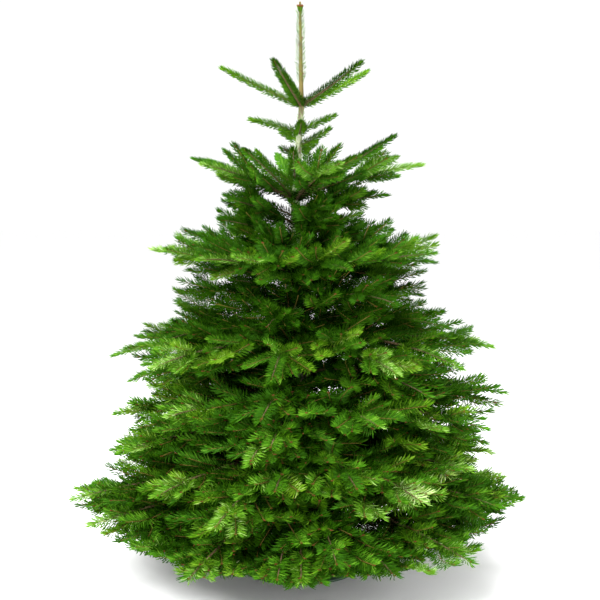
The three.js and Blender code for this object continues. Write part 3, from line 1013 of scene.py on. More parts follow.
    def grow_twig(self, limb: Limb, stem: Parent, share: float, turn: Pair, age: int, growth: float) -> None:
        """Grows one twig from a stem, as far as the space of its mass leaves room.

        The twig starts at a heading and lift from the stem's own way, bends forward to that way, and curls up at
        its end.

        Args:
            limb: Its limb.
            stem: Its stem.
            share: Where on the stem.
            turn: How far it turns to the side and up, in degrees.
            age: Its years.
            growth: Its length as a share of the stem's growth in the same years.
        """
        habit, chance = self.habit, limb.chance
        way, start = stem.stem.way(share), stem.stem.at(share)
        side = math.radians(turn[0] + chance.around(habit.heading_chance))
        rise = math.radians(turn[1] + chance.around(habit.lift_chance))
        flat = Matrix.Rotation(side, 3, "Z") @ Vector((way.x, way.y, 0)).normalized()
        slope = math.atan2(way.z, math.hypot(way.x, way.y)) * math.cos(side) + rise
        out = flat * math.cos(slope) + UP * math.sin(slope)
        forward = (out * (1 - habit.turn_forward) + way * habit.turn_forward).normalized() + UP * habit.curl
        wanted = stem.stem.length() * (1 - share) * growth * (1 + chance.around(habit.length_chance))
        length = max(wanted, habit.shortest_wanted)
        for _ in range(habit.room_steps):
            if limb.within_reach(start + forward * length, habit):
                break
            length *= habit.room_step
        else:
            return
        middle, end = start + out * (length / 2), start + forward * length
        tier = TIERS[limb.level]
        sag = tier.droop * length * min(1.0, tier.share_of_reach(end)) ** 3
        middle.z, end.z = middle.z - sag, end.z - habit.sag_at_tip * sag
        pressed = limb.pressed(end, habit)
        if abs(pressed.z - end.z) > habit.most_pressed * length:
            return
        line = Stem(start, middle + (pressed - end) * habit.bend_kept, pressed)
        tint, radius = stem.tint + chance.around(habit.tint_chance), habit.thinner * stem.radius_at(share)
        if length > habit.shortest:
            roll = chance.around(habit.roll_chance)
            dealt = len(self.growth.shoots) * GOLDEN % 1 < habit.warm_share
            warm = stem.warm if stem.order else dealt
            self.grow_stem(limb, Parent(line, stem.order + 1, radius, tint, roll, warm), age)

    def tip_buds(self, limb: Limb, stem: Parent) -> None:
        """Sets a bud on a stem's end in the crown's outer part, and one to either hand on limbs and side twigs.

        Args:
            limb: Its limb.
            stem: The stem.
        """
        buds, end, way = self.buds, stem.stem.end, stem.stem.way(1)
        if TIERS[limb.level].share_of_reach(end) < buds.from_share:
            return
        side = way.cross(UP).normalized()
        self.growth.bud(end, way, buds.length)
        for hand in (-1, 1) if stem.order < len(self.habit.share) else ():
            turn = side * (hand * buds.side_turn) + UP * limb.chance.around(buds.lift_chance)
            place = end - way * buds.side_place + side * (hand * buds.side_place)
            self.growth.bud(place, (way + turn).normalized(), buds.side_length)

    def dress_trunk(self) -> None:
        """Dresses the trunk's young stretches: sparse needles that point up, a crown of them at the tip, and buds."""
        leader = self.leader
        marks = (self.trunk.top - leader.tip_drop, *(tier.height for tier in TIERS))
        for low, above_low, high, above_high, age, tint in leader.stretches:
            heights = (marks[low] + above_low, marks[high] + above_high)
            start, end = (self.trunk.point(height) for height in heights)
            radii = tuple(float(self.trunk.radius(height)) for height in heights)
            self.growth.shoot(Stem(start, (start + end) / 2, end), radii, age.value, tint, 0, warm=True)
        tip = self.trunk.point(marks[0])
        self.growth.bud(tip, UP, leader.tip_bud)
        for number in range(leader.ring):
            turn = level_way(360 / leader.ring * number + leader.ring_turn)
            place = tip + turn * leader.ring_out - UP * leader.ring_drop
            self.growth.bud(place, (UP + turn * leader.ring_lean).normalized(), leader.ring_bud)
        for number in range(leader.row):
            turn = level_way(GOLDEN_TURN * number)
            height = marks[1] + leader.row_low + leader.row_span * (number + 0.5) / leader.row
            place = self.trunk.point(height)
            way = (UP * leader.row_lift + turn).normalized()
            self.growth.bud(place + turn * leader.row_out, way, leader.row_bud)


@dataclass(frozen=True)
class NeedleShape:
    """A needle of two faces, folded along its middle, broadest at a share of its length.

    Its width is a part of its length on top of a width of its own. Its root is sunk into the shoot by a share of the
    shoot's radius. It leans less by tip_fan at the shoot's end, from a share of the shoot on, and by less_above on
    the upper side. It is shorter at the shoot's root and tip, by their shares, on the upper side, by shorter_above,
    and on a short shoot. The first needle of each shoot is turned by next_shoot from that of the one before.
    """

    width: float = 0.0013
    widening: float = 0.056
    broadest: float = 0.66
    fold: float = 0.22
    sunk: float = 0.5
    curl: float = 0.10
    forward_curl: float = 0.05
    length_chance: float = 0.10
    lean_chance: float = 5
    tint_chance: float = 0.55
    width_chance: float = 0.25
    tip_fan: float = 26
    fan_from: float = 0.84
    less_above: float = 8
    next_shoot: float = 0.37
    root_share: float = 0.62
    tip_share: float = 0.88
    end_slope: float = 6
    shorter_above: float = 0.16
    short_shoot: float = 0.66
    short_shoot_slope: float = 4.2
    shortest: float = 0.006
    longest: float = 0.042
    fewest: int = 3


@dataclass
class Shoots:
    """All shoots as arrays, one row a shoot, with the frames that their needles and bark are set on."""

    rows: Array

    def __post_init__(self) -> None:
        """Names the columns."""
        rows = self.rows
        self.start, self.middle, self.end = rows[:, 0:3], rows[:, 3:6], rows[:, 6:9]
        self.radius_root, self.radius_tip = rows[:, 9], rows[:, 10]
        self.density, self.needle_length = rows[:, 11], rows[:, 12]
        self.lean_root, self.lean_tip, self.spread = rows[:, 13], rows[:, 14], rows[:, 15]
        self.tint, self.level, self.length = rows[:, 16], rows[:, 17].astype(int), rows[:, 18]
        self.wood, self.roll = rows[:, 19].astype(int), np.radians(rows[:, 20])[:, None]
        self.crowd, self.warm = rows[:, 21], rows[:, 22] > 0

    def frames(self, index: Array, share: Array) -> Arrays:
        """Works out places and directions on shoots.

        The place is the curve of the second degree at the share, the way its tangent, the side the level square to
        it, and the upper side the square to both. The last two are turned about the way by the shoot's roll.

        Args:
            index: The shoot of each place.
            share: Where on the shoot it lies.

        Returns:
            The places, ways, sides and upper sides.
        """
        t = share[:, None]
        start, middle, end = self.start[index], self.middle[index], self.end[index]
        place = start * (1 - t) ** 2 + middle * (2 * t * (1 - t)) + end * t**2
        way = unit((middle - start) * (1 - t) + (end - middle) * t)
        side = square_to(way, STEEP_SHOOT, (0.0, 1.0, 0.0))
        upper = np.cross(side, way)
        turn = self.roll[index]
        return place, way, side * np.cos(turn) + upper * np.sin(turn), upper * np.cos(turn) - side * np.sin(turn)

    def needles(self, shape: NeedleShape, seed: int) -> Arrays:
        """Works out every needle of every shoot.

        Needles follow each other along the shoot and turn round it by the golden ratio, crowded to its sides. Each
        leans out of the shoot less towards the tip, least in the fan at its end, is shorter near both ends of the
        shoot and on its upper side, and is a folded kite of two faces whose width lies square to the shoot's upper
        side.

        Args:
            shape: The needle's shape.
            seed: The seed of what is left to chance.

        Returns:
            The four corners of each needle, its place on the row of greens, its tier, and whether it is warm.
        """
        rng = np.random.default_rng(seed)
        counts = np.maximum(shape.fewest, np.round(self.density * self.length)).astype(int)
        index = np.repeat(np.arange(len(counts)), counts)
        order = np.arange(counts.sum()) - np.repeat(np.cumsum(counts) - counts, counts)
        share = (order + rng.uniform(0, 1, len(order))) / counts[index]
        place, way, side, upper = self.frames(index, share)
        round_about = 2 * np.mod(order * GOLDEN + index * shape.next_shoot, 1) - 1
        angle = np.radians(self.spread[index]) * np.sign(round_about) * np.abs(round_about) ** self.crowd[index]
        out = side * np.sin(angle)[:, None] + upper * np.cos(angle)[:, None]
        lean = self.lean_root[index] * (1 - share) + self.lean_tip[index] * share
        lean -= shape.tip_fan * np.maximum(0, share - shape.fan_from) / (1 - shape.fan_from)
        lean = lean + rng.normal(0, shape.lean_chance, len(lean)) - shape.less_above * np.cos(angle)
        lean = np.radians(lean)[:, None]
        direction = way * np.cos(lean) + out * np.sin(lean)
        radius = (self.radius_root[index] * (1 - share) + self.radius_tip[index] * share)[:, None]
        length = self.lengths(shape, index, share, angle)
        length *= 1 + rng.normal(0, shape.length_chance, len(share))
        length = np.clip(length, shape.shortest, shape.longest)[:, None]
        root = place + out * radius * shape.sunk
        broad = unit(np.cross(direction, upper + shape.width_chance * rng.normal(0, 1, upper.shape)))
        face = np.cross(broad, direction)
        width = shape.width + shape.widening * length
        bend = root + direction * length * shape.broadest - face * width * shape.fold
        tip = root + direction * length + (upper * shape.curl + way * shape.forward_curl) * length
        half = broad * width / 2
        corners = np.stack([root, bend + half, tip, bend - half], axis=1)
        tint = self.tint[index] + rng.normal(0, shape.tint_chance, len(index))
        return corners, tint, self.level[index], self.warm[index]

    def lengths(self, shape: NeedleShape, index: Array, share: Array, angle: Array) -> Array:
        """Works out the needles' lengths: the shoot's own times a share for each end, the upper side and its size.

        Args:
            shape: The needle's shape.
            index: The shoot of each needle.
            share: Where on the shoot it stands.
            angle: How far round from the upper side, in radians.

        Returns:
            The lengths.
        """
        root_end, tip_end = shape.root_share + shape.end_slope * share, shape.tip_share + shape.end_slope * (1 - share)
        ends = np.minimum(1, np.minimum(root_end, tip_end))
        above = 1 - shape.shorter_above * np.maximum(0, np.cos(angle)) * (self.spread[index] < WIDEST_TWIG_SPREAD)
        short = np.minimum(1, shape.short_shoot + shape.short_shoot_slope * self.length[index])
        return self.needle_length[index] * short * ends * above

    def bark(self, rings: int, sides: int) -> tuple[Array, list[Array], Array]:
        """Works out the bark of all shoots as tubes whose radius goes evenly from root to tip.

        Args:
            rings: Rings of a tube.
            sides: Corners of a ring.

        Returns:
            The vertices, the faces and each shoot's place on the row of browns, once for each of its faces.
        """
        count = len(self.rows)
        share = np.linspace(0, 1, rings)
        index = np.repeat(np.arange(count), rings)
        place, _, side, upper = self.frames(index, np.tile(share, count))
        radius = self.radius_root[index] + (self.radius_tip - self.radius_root)[index] * np.tile(share, count)
        points = place[:, None, :] + ring_ways(side, upper, sides) * radius[:, None, None]
        squares, ends = closed_tube_faces(rings, sides)
        first = (np.arange(count) * rings * sides)[:, None, None]
        faces = [(squares[None] + first).reshape(-1, 4), (ends[None] + first).reshape(-1, sides)]
        woods = np.concatenate([np.repeat(self.wood, len(squares)), np.repeat(self.wood, len(ends))])
        return points.reshape(-1, 3), faces, woods


def bud_surface(rows: Array) -> Surface:
    """Works out all buds: an egg on each row's place, two rings of four corners between two poles.

    Args:
        rows: Place, way and length of each bud.

    Returns:
        The vertices and the faces.
    """
    place, way, length = rows[:, 0:3], unit(rows[:, 3:6]), rows[:, 6]
    side = square_to(way, STEEP_BUD, (1.0, 0.0, 0.0))
    along, wide = (0.20, 0.62), (0.34, 0.30)
    ring = ring_ways(side, np.cross(side, way), 4)
    rings = [place[:, None] + way[:, None] * (a * length)[:, None, None] + ring * (w * length)[:, None, None]
             for a, w in zip(along, wide)]
    root, tip = place[:, None], (place + way * length[:, None])[:, None]
    points = np.concatenate([*rings, root, tip], axis=1)
    corner, following = np.arange(4), (np.arange(4) + 1) % 4
    squares = np.stack([corner, following, following + 4, corner + 4], axis=1)
    low = np.stack([following, corner, np.full(4, 8)], axis=1)
    high = np.stack([corner + 4, following + 4, np.full(4, 9)], axis=1)
    first = (np.arange(len(rows)) * 10)[:, None, None]
    triangles = np.concatenate([low, high])
    return points.reshape(-1, 3), [(squares[None] + first).reshape(-1, 4), (triangles[None] + first).reshape(-1, 3)]


def make_piece(
    name: str, points: Array, faces: list[Array], materials: list[Material],
    slots: Array | None = None, smooth: bool = True,
) -> Piece:
    """Puts arrays into a mesh and its object into the scene.

    Args:
        name: The piece's name.
        points: The vertices.
        faces: Arrays of faces, each with faces of one number of corners.
        materials: The piece's materials.
        slots: The material of each face, or None where there is one.
        smooth: Whether faces are shaded as one surface.

    Returns:
        The object.
    """
    mesh = bpy.data.meshes.new(name)
    corners = np.concatenate([part.ravel() for part in faces])
    sizes = np.concatenate([np.full(len(part), part.shape[1]) for part in faces])
    mesh.vertices.add(len(points))
    mesh.vertices.foreach_set("co", np.ascontiguousarray(points, dtype=np.float32).ravel())
    mesh.loops.add(len(corners))
    mesh.loops.foreach_set("vertex_index", corners.astype(np.int32))
    mesh.polygons.add(len(sizes))
    mesh.polygons.foreach_set("loop_start", (np.cumsum(sizes) - sizes).astype(np.int32))
    for material in materials:
        mesh.materials.append(material)
    if slots is not None:
        mesh.polygons.foreach_set("material_index", slots.astype(np.int32))
    mesh.polygons.foreach_set("use_smooth", np.full(len(sizes), smooth))
    mesh.update(calc_edges=True)
    piece = bpy.data.objects.new(name, mesh)
    bpy.context.scene.collection.objects.link(piece)
    return piece


class Socket:
    """A number that runs through a material's nodes: an operator on it adds a Math node."""

    def __init__(self, graph: "Graph", output: bpy.types.NodeSocket) -> None:
        """Keeps the node's output and its graph."""
        self.graph, self.output = graph, output

    def _math(self, operation: str, first: Any, second: Any) -> "Socket":
        """Returns the result of a Math node on two values."""
        node = self.graph.node("ShaderNodeMath", {"operation": operation}, {0: first, 1: second})
        return Socket(self.graph, node.outputs[0])

    def __add__(self, other: Any) -> "Socket":
        """Returns the sum."""
        return self._math("ADD", self, other)

    def __radd__(self, other: Any) -> "Socket":
        """Returns the sum, with the number first."""
        return self._math("ADD", other, self)

    def __sub__(self, other: Any) -> "Socket":
        """Returns the difference."""
        return self._math("SUBTRACT", self, other)

    def __rsub__(self, other: Any) -> "Socket":
        """Returns the difference, with the number first."""
        return self._math("SUBTRACT", other, self)

    def __mul__(self, other: Any) -> "Socket":
        """Returns the product."""
        return self._math("MULTIPLY", self, other)

    def __rmul__(self, other: Any) -> "Socket":
        """Returns the product, with the number first."""
        return self._math("MULTIPLY", other, self)


class Graph:
    """A material's nodes, made by one method, with one surface shader."""

    def __init__(self, name: str) -> None:
        """Starts a material with its surface shader.

        Args:
            name: The material's name.
        """
        self.material = bpy.data.materials.new(name)
        self.material.use_nodes = True
        self.tree = self.material.node_tree
        self.shader = self.tree.nodes["Principled BSDF"]

    def node(self, kind: str, settings: dict[str, Any], inputs: dict[Any, Any]) -> bpy.types.Node:
        """Adds a node.

        Args:
            kind: The node's type.
            settings: Its settings, set first. Stops are a colour ramp's places and colours.
            inputs: Values or links of its sockets, by name or number.

        Returns:
            The node.
        """
        node = self.tree.nodes.new(kind)
        for key, value in settings.items():
            if key == "stops":
                self._set_stops(node.color_ramp, value)
            else:
                setattr(node, key, value)
        for key, value in inputs.items():
            self.feed(node.inputs[key], value)
        return node

    def _set_stops(self, ramp: bpy.types.ColorRamp, stops: list[tuple[float, Triple]]) -> None:
        """Sets a ramp's stops.

        Args:
            ramp: The ramp.
            stops: Their places and colours.
        """
        while len(ramp.elements) < len(stops):
            ramp.elements.new(1.0)
        for element, (place, colour) in zip(ramp.elements, stops):
            element.position = place
            element.color = (*colour, 1.0)

    def feed(self, socket: bpy.types.NodeSocket, value: Any) -> None:
        """Links a socket to a value that runs through nodes, or sets it.

        Args:
            socket: The socket.
            value: A value that runs through nodes, a number, or a colour.
        """
        if isinstance(value, Socket):
            self.tree.links.new(value.output, socket)
        elif isinstance(value, tuple) and len(value) == 3 and socket.type == "RGBA":
            socket.default_value = (*value, 1.0)
        else:
            socket.default_value = value

    def place(self, scale: Triple = (1, 1, 1)) -> Socket:
        """Reads the object's own coordinates.

        Args:
            scale: How far they are stretched each way.

        Returns:
            The stretched coordinates.
        """
        coordinates = self.node("ShaderNodeTexCoord", {}, {})
        object_place = Socket(self, coordinates.outputs["Object"])
        mapping = self.node("ShaderNodeMapping", {}, {"Vector": object_place, "Scale": Vector(scale)})
        return Socket(self, mapping.outputs[0])

    def height(self) -> Socket:
        """Returns the height in the object's own coordinates."""
        split = self.node("ShaderNodeSeparateXYZ", {}, {0: self.place()})
        return Socket(self, split.outputs["Z"])

    def noise(self, place: Socket, scale: float, detail: float = 3.0, roughness: float = 0.55) -> Socket:
        """Returns a cloudy pattern from 0 to 1."""
        inputs = {"Vector": place, "Scale": scale, "Detail": detail, "Roughness": roughness}
        return Socket(self, self.node("ShaderNodeTexNoise", {}, inputs).outputs[0])

    def spots(self, place: Socket, scale: float) -> Socket:
        """Returns the distance to the nearest of many scattered points."""
        return Socket(self, self.node("ShaderNodeTexVoronoi", {}, {"Vector": place, "Scale": scale}).outputs[0])

    def stepped(self, value: Socket, low: float, high: float) -> Socket:
        """Turns a value into a mask: 0 below low and 1 above high, with a smooth way between them.

        Args:
            value: The value.
            low: Where the way starts.
            high: Where it ends.

        Returns:
            The mask.
        """
        settings = {"interpolation_type": "SMOOTHSTEP"}
        node = self.node("ShaderNodeMapRange", settings, {"Value": value, "From Min": low, "From Max": high})
        return Socket(self, node.outputs[0])

    def ramp(self, value: Socket, stops: list[tuple[float, Triple]]) -> Socket:
        """Returns the colour of a value on a row of stops."""
        return Socket(self, self.node("ShaderNodeValToRGB", {"stops": stops}, {0: value}).outputs[0])

    def mix(self, factor: Any, first: Any, second: Any) -> Socket:
        """Returns a mixture of two colours."""
        node = self.node("ShaderNodeMix", {"data_type": "RGBA"}, {0: factor, 6: first, 7: second})
        return Socket(self, node.outputs[2])

    def bump(self, height: Socket, strength: float, distance: float) -> Socket:
        """Returns a normal that is tilted by a height."""
        node = self.node("ShaderNodeBump", {}, {"Height": height, "Strength": strength, "Distance": distance})
        return Socket(self, node.outputs[0])

    def finish(self, **sockets: Any) -> Material:
        """Feeds the surface shader.

        Args:
            **sockets: A value for each of its sockets, with underscores for the spaces in names.

        Returns:
            The material.
        """
        for name, value in sockets.items():
            self.feed(self.shader.inputs[name.replace("_", " ").title()], value)
        return self.material


@dataclass(frozen=True)
class Plain:
    """A plain finish of one colour, of which a spray or a twig wears one out of a row."""

    name: str
    colour: Triple
    roughness: float = 0.5
    specular: float = 0.16

    def material(self) -> Material:
        """Makes the material.

        Returns:
            The material.
        """
        graph = Graph(self.name)
        graph.shader.inputs["Specular IOR Level"].default_value = self.specular
        return graph.finish(base_color=self.colour, roughness=self.roughness)


# The row of greens, from the darkest to the palest. The deep end is painted shade for the crown's inside, and also has
# no specular there; the pale end is partly the fresh growth's own colour and partly painted highlight.
GREENS = (
    Plain("needle_shade", (0.003, 0.014, 0.001), 0.70, 0.0),
    Plain("needle_deep", (0.009, 0.038, 0.001), 0.70, 0.0),
    Plain("needle_dark", (0.021, 0.080, 0.001), 0.65, 0.02),
    Plain("needle_blue", (0.029, 0.110, 0.005), 0.60, 0.04),
    Plain("needle_mid", (0.047, 0.168, 0.004), 0.55, 0.06),
    Plain("needle_green", (0.108, 0.268, 0.014), 0.52, 0.08),
    Plain("needle_light", (0.238, 0.415, 0.080), 0.48, 0.16),
    Plain("needle_fresh", (0.450, 0.585, 0.250), 0.46, 0.26),
)
# Warm greens, dealt out by spray; their pale end too is partly the fresh growth's own colour and partly painted
# highlight.
WARM_GREENS = (
    Plain("needle_olive_dark", (0.035, 0.110, 0.004), 0.60, 0.04),
    Plain("needle_olive", (0.063, 0.175, 0.003), 0.55, 0.06),
    Plain("needle_olive_mid", (0.136, 0.280, 0.012), 0.52, 0.10),
    Plain("needle_olive_light", (0.280, 0.425, 0.088), 0.48, 0.18),
    Plain("needle_olive_fresh", (0.480, 0.590, 0.265), 0.46, 0.28),
)
BROWNS = (
    Plain("twig_fresh", (0.135, 0.100, 0.022), 0.65, 0.05),
    Plain("twig_second", (0.105, 0.066, 0.018), 0.70, 0.05),
    Plain("twig_old", (0.078, 0.050, 0.018), 0.75, 0.05),
    Plain("twig_grey", (0.090, 0.068, 0.038), 0.80, 0.05),
)
BUD = Plain("bud_scales", (0.150, 0.042, 0.012), 0.55, 0.15)


@dataclass(frozen=True)
class Bark:
    """Smooth young bark: olive on the leader, silver green below it, and grey brown with scars towards the foot."""

    olive: Triple = (0.140, 0.108, 0.020)
    silver: Triple = (0.330, 0.370, 0.230)
    grey: Triple = (0.190, 0.170, 0.125)
    brown: Triple = (0.105, 0.078, 0.052)
    scar: Triple = (0.070, 0.045, 0.028)
    height: float = 1.9
    mottle: float = 0.05
    scarred: float = 0.75
    relief: Triple = (0.5, 0.25, 0.6)
    roughness: float = 0.62
    rougher: float = 0.25

    def material(self) -> Material:
        """Makes the material: a ramp up the trunk, patches of brown, and lying scars that stand out.

        Returns:
            The material.
        """
        graph = Graph("trunk_bark")
        height = graph.height()
        patches = graph.noise(graph.place((1, 1, 0.45)), scale=46, detail=5, roughness=0.62)
        fine = graph.noise(graph.place((1, 1, 0.5)), scale=420, detail=3, roughness=0.6)
        scars = graph.stepped(graph.spots(graph.place((1, 1, 2.6)), scale=62), low=0.30, high=0.16)
        up = height * (1 / self.height) + patches * self.mottle - self.mottle / 2
        stops = [(0.0, self.brown), (0.34, self.grey), (0.62, self.silver), (0.795, self.silver), (0.822, self.olive)]
        colour = graph.mix(graph.stepped(patches, low=0.52, high=0.70), graph.ramp(up, stops), self.brown)
        colour = graph.mix(scars * self.scarred, colour, self.scar)
        relief = patches * self.relief[0] + fine * self.relief[1] + scars * self.relief[2]
        normal = graph.bump(relief, strength=0.55, distance=0.0016)
        return graph.finish(base_color=colour, roughness=self.roughness + fine * self.rougher, normal=normal)


@dataclass(frozen=True)
class LimbBark:
    """The limbs' bark: reddish brown, paler and greyer in patches, with fine scales."""

    brown: Triple = (0.095, 0.056, 0.020)
    pale: Triple = (0.150, 0.102, 0.048)
    roughness: float = 0.66
    rougher: float = 0.2

    def material(self) -> Material:
        """Makes the material: two browns mixed by patches, and scales that stand out.

        Returns:
            The material.
        """
        graph = Graph("limb_bark")
        patches = graph.noise(graph.place(), scale=70, detail=4, roughness=0.6)
        scales = graph.spots(graph.place(), scale=330)
        colour = graph.mix(graph.stepped(patches, low=0.38, high=0.66), self.brown, self.pale)
        normal = graph.bump(scales, strength=0.4, distance=0.0009)
        return graph.finish(base_color=colour, roughness=self.roughness + patches * self.rougher, normal=normal)


@dataclass(frozen=True)
class Enamel:
    """Satin stove enamel on the stand, with a faint orange peel, and worn paler in small patches."""

    colour: Triple = (0.018, 0.052, 0.026)
    worn: Triple = (0.035, 0.080, 0.045)
    coat: float = 0.25
    coat_roughness: float = 0.2
    roughness: float = 0.30
    rougher: float = 0.22

    def material(self) -> Material:
        """Makes the material: two greens mixed by patches, under a thin clear coat.

        Returns:
            The material.
        """
        graph = Graph("stand_enamel")
        peel = graph.noise(graph.place(), scale=620, detail=2, roughness=0.5)
        patches = graph.noise(graph.place(), scale=17, detail=4, roughness=0.6)
        colour = graph.mix(graph.stepped(patches, low=0.50, high=0.72), self.colour, self.worn)
        graph.shader.inputs["Coat Weight"].default_value = self.coat
        graph.shader.inputs["Coat Roughness"].default_value = self.coat_roughness
        normal = graph.bump(peel, strength=0.12, distance=0.0006)
        return graph.finish(base_color=colour, roughness=self.roughness + patches * self.rougher, normal=normal)


@dataclass(frozen=True)
class Steel:
    """Zinc plated steel, cloudy and slightly rough."""

    bright: Triple = (0.60, 0.61, 0.62)
    dull: Triple = (0.42, 0.43, 0.45)
    roughness: float = 0.26
    rougher: float = 0.24

    def material(self) -> Material:
        """Makes the material: two greys mixed by clouds.

        Returns:
            The material.
        """
        graph = Graph("screw_steel")
        clouds = graph.noise(graph.place(), scale=95, detail=4, roughness=0.65)
        graph.shader.inputs["Metallic"].default_value = 1.0
        colour = graph.mix(graph.stepped(clouds, low=0.35, high=0.65), self.dull, self.bright)
        normal = graph.bump(clouds, strength=0.1, distance=0.0004)
        return graph.finish(base_color=colour, roughness=self.roughness + clouds * self.rougher, normal=normal)


@dataclass
class Wood:
    """The trunk and the limbs, as skins with their relief.

    A limb's skin swells at its foot and in a ring at each year's end, and wobbles by a wave along and round it.
    """

    trunk: Trunk
    crown: Crown
    limb_sides: int = 10
    limb_rings: int = 46
    limb_share: float = 0.97
    tip_radius: float = 0.0013
    foot_swell: float = 0.35
    foot_length: float = 0.03
    ring_swell: float = 0.10
    ring_length: float = 0.006
    wobble: float = 0.06
    wobble_along: float = 37
    wobble_round: int = 3
    wobble_next: float = 2

    def build(self) -> list[Piece]:
        """Builds the trunk and the limbs.

        Returns:
            Both pieces.
        """
        points, faces = self.trunk.surface()
        trunk = make_piece("trunk_bark", points, faces, [Bark().material()])
        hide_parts("trunk")
        limbs = self.build_limbs()
        boughs = [
            f"tier_{level + 1}_bough_{number + 1}"
            for level in range(FIRST_TIER_WITH_BOUGHS, len(TIERS)) for number in range(LIMBS_A_TIER)
        ]
        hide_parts(*boughs)
        return [trunk, limbs]

    def build_limbs(self) -> Piece:
        """Builds all limbs as one piece: tubes whose radius thins to the tip and swells at the root and in rings.

        Returns:
            The piece.
        """
        points, faces, first = [], [], 0
        share = np.linspace(0, self.limb_share, self.limb_rings)
        angle = np.linspace(0, 2 * np.pi, self.limb_sides, endpoint=False)
        for number, limb in enumerate(self.crown.limbs):
            stem, years, length = limb.stem, limb.years, limb.stem.length()
            rows = np.array([(*stem.start, *stem.middle, *stem.end, *OTHER_COLUMNS)])
            place, _, side, upper = Shoots(rows).frames(np.zeros(len(share), int), share)
            radius = limb.radius + (self.tip_radius - limb.radius) * share
            swell = 1 + self.foot_swell * np.exp(-((share * length / self.foot_length) ** 2))
            from_ring = (np.mod(share * years + 0.5, 1) - 0.5) * length / years / self.ring_length
            rings = 1 + self.ring_swell * np.exp(-from_ring ** 2)
            phase = self.wobble_along * share[:, None] + self.wobble_round * angle[None, :] + self.wobble_next * number
            thick = (radius * swell * rings)[:, None] * (1 + self.wobble * np.sin(phase))
            skin = place[:, None] + ring_ways(side, upper, self.limb_sides) * thick[:, :, None]
            points.append(skin.reshape(-1, 3))
            faces += closed_tube_faces(self.limb_rings, self.limb_sides, first)
            first += self.limb_rings * self.limb_sides
        return make_piece("limb_bark", np.concatenate(points), faces, [LimbBark().material()])


@dataclass
class Foliage:
    """Twigs, buds and needles, each kind in pieces of its own."""

    crown: Crown
    shape: NeedleShape = field(default_factory=NeedleShape)
    seed: int = 7
    most_needles: int = 95_000
    twig_rings: int = 3
    twig_sides: int = 3
    top_tiers: int = 3

    def build(self) -> list[Piece]:
        """Builds all foliage, and returns its pieces."""
        shoots = Shoots(np.array(self.crown.growth.shoots))
        return [*self.build_needles(shoots), self.build_twigs(shoots), self.build_buds()]

    def build_needles(self, shoots: Shoots) -> list[Piece]:
        """Builds the needles, a group of tiers at a time, in pieces of equal size.

        Args:
            shoots: All shoots.

        Returns:
            The pieces, each of which stands for its tiers' masses.
        """
        materials = [green.material() for green in (*GREENS, *WARM_GREENS)]
        corners, tint, level, warm = shoots.needles(self.shape, self.seed)
        # Each needle's place on the row of greens carries the painted light and shade of tint_of.
        slot = np.clip(np.round(tint), 0, len(GREENS) - 1)
        slot += len(WARM_GREENS) * (warm & (slot >= len(GREENS) - len(WARM_GREENS)))
        groups = [list(range(self.top_tiers)), *([k] for k in range(self.top_tiers, len(TIERS)))]
        pieces = []
        for group in groups:
            chosen = np.flatnonzero(np.isin(level, group))
            parts = np.array_split(chosen, max(1, math.ceil(len(chosen) / self.most_needles)))
            for number, part in enumerate(parts):
                name = f"needles_tier_{group[-1] + 1}_{number + 1}"
                piece = self.needle_piece(name, corners[part], slot[part], materials)
                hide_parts(*(node for tier in group for node in self.masses(tier)))
                pieces.append(piece)
        LOG.info("needles: %d in %d pieces", len(corners), len(pieces))
        return pieces

    def needle_piece(self, name: str, corners: Array, slot: Array, materials: list[Material]) -> Piece:
        """Builds one piece of needles, two triangles each, that share the fold from root to tip.

        Args:
            name: The piece's name.
            corners: The four corners of each needle.
            slot: The material of each needle.
            materials: The row of greens.

        Returns:
            The piece.
        """
        first = (np.arange(len(corners)) * 4)[:, None, None]
        faces = (np.array([[0, 1, 2], [0, 2, 3]])[None] + first).reshape(-1, 3)
        piece = make_piece(name, corners.reshape(-1, 3), [faces], materials, np.repeat(slot, 2), smooth=False)
        return piece

    def masses(self, level: int) -> list[str]:
        """Returns the names of the solids that a tier's foliage stands for."""
        kind = "shoot" if level == 0 else "foliage"
        return [f"tier_{level + 1}_{kind}_{number + 1}" for number in range(LIMBS_A_TIER)]

    def build_twigs(self, shoots: Shoots) -> Piece:
        """Builds the bark of the twigs, without the stretches of trunk that only bear needles.

        Args:
            shoots: All shoots.

        Returns:
            The piece.
        """
        twigs = Shoots(shoots.rows[shoots.spread < WIDEST_TWIG_SPREAD])
        points, faces, woods = twigs.bark(self.twig_rings, self.twig_sides)
        piece = make_piece("twig_bark", points, faces, [brown.material() for brown in BROWNS], woods)
        LOG.info("twigs: %d shoots, %.0f m", len(twigs.rows), twigs.length.sum())
        return piece

    def build_buds(self) -> Piece:
        """Builds the buds.

        Returns:
            The piece.
        """
        points, faces = bud_surface(np.array(self.crown.growth.buds))
        piece = make_piece("buds", points, faces, [BUD.material()])
        return piece


class Lie(Enum):
    """How a prism's outline lies: along the stand's radius, or across it."""

    ALONG = "along"
    ACROSS = "across"


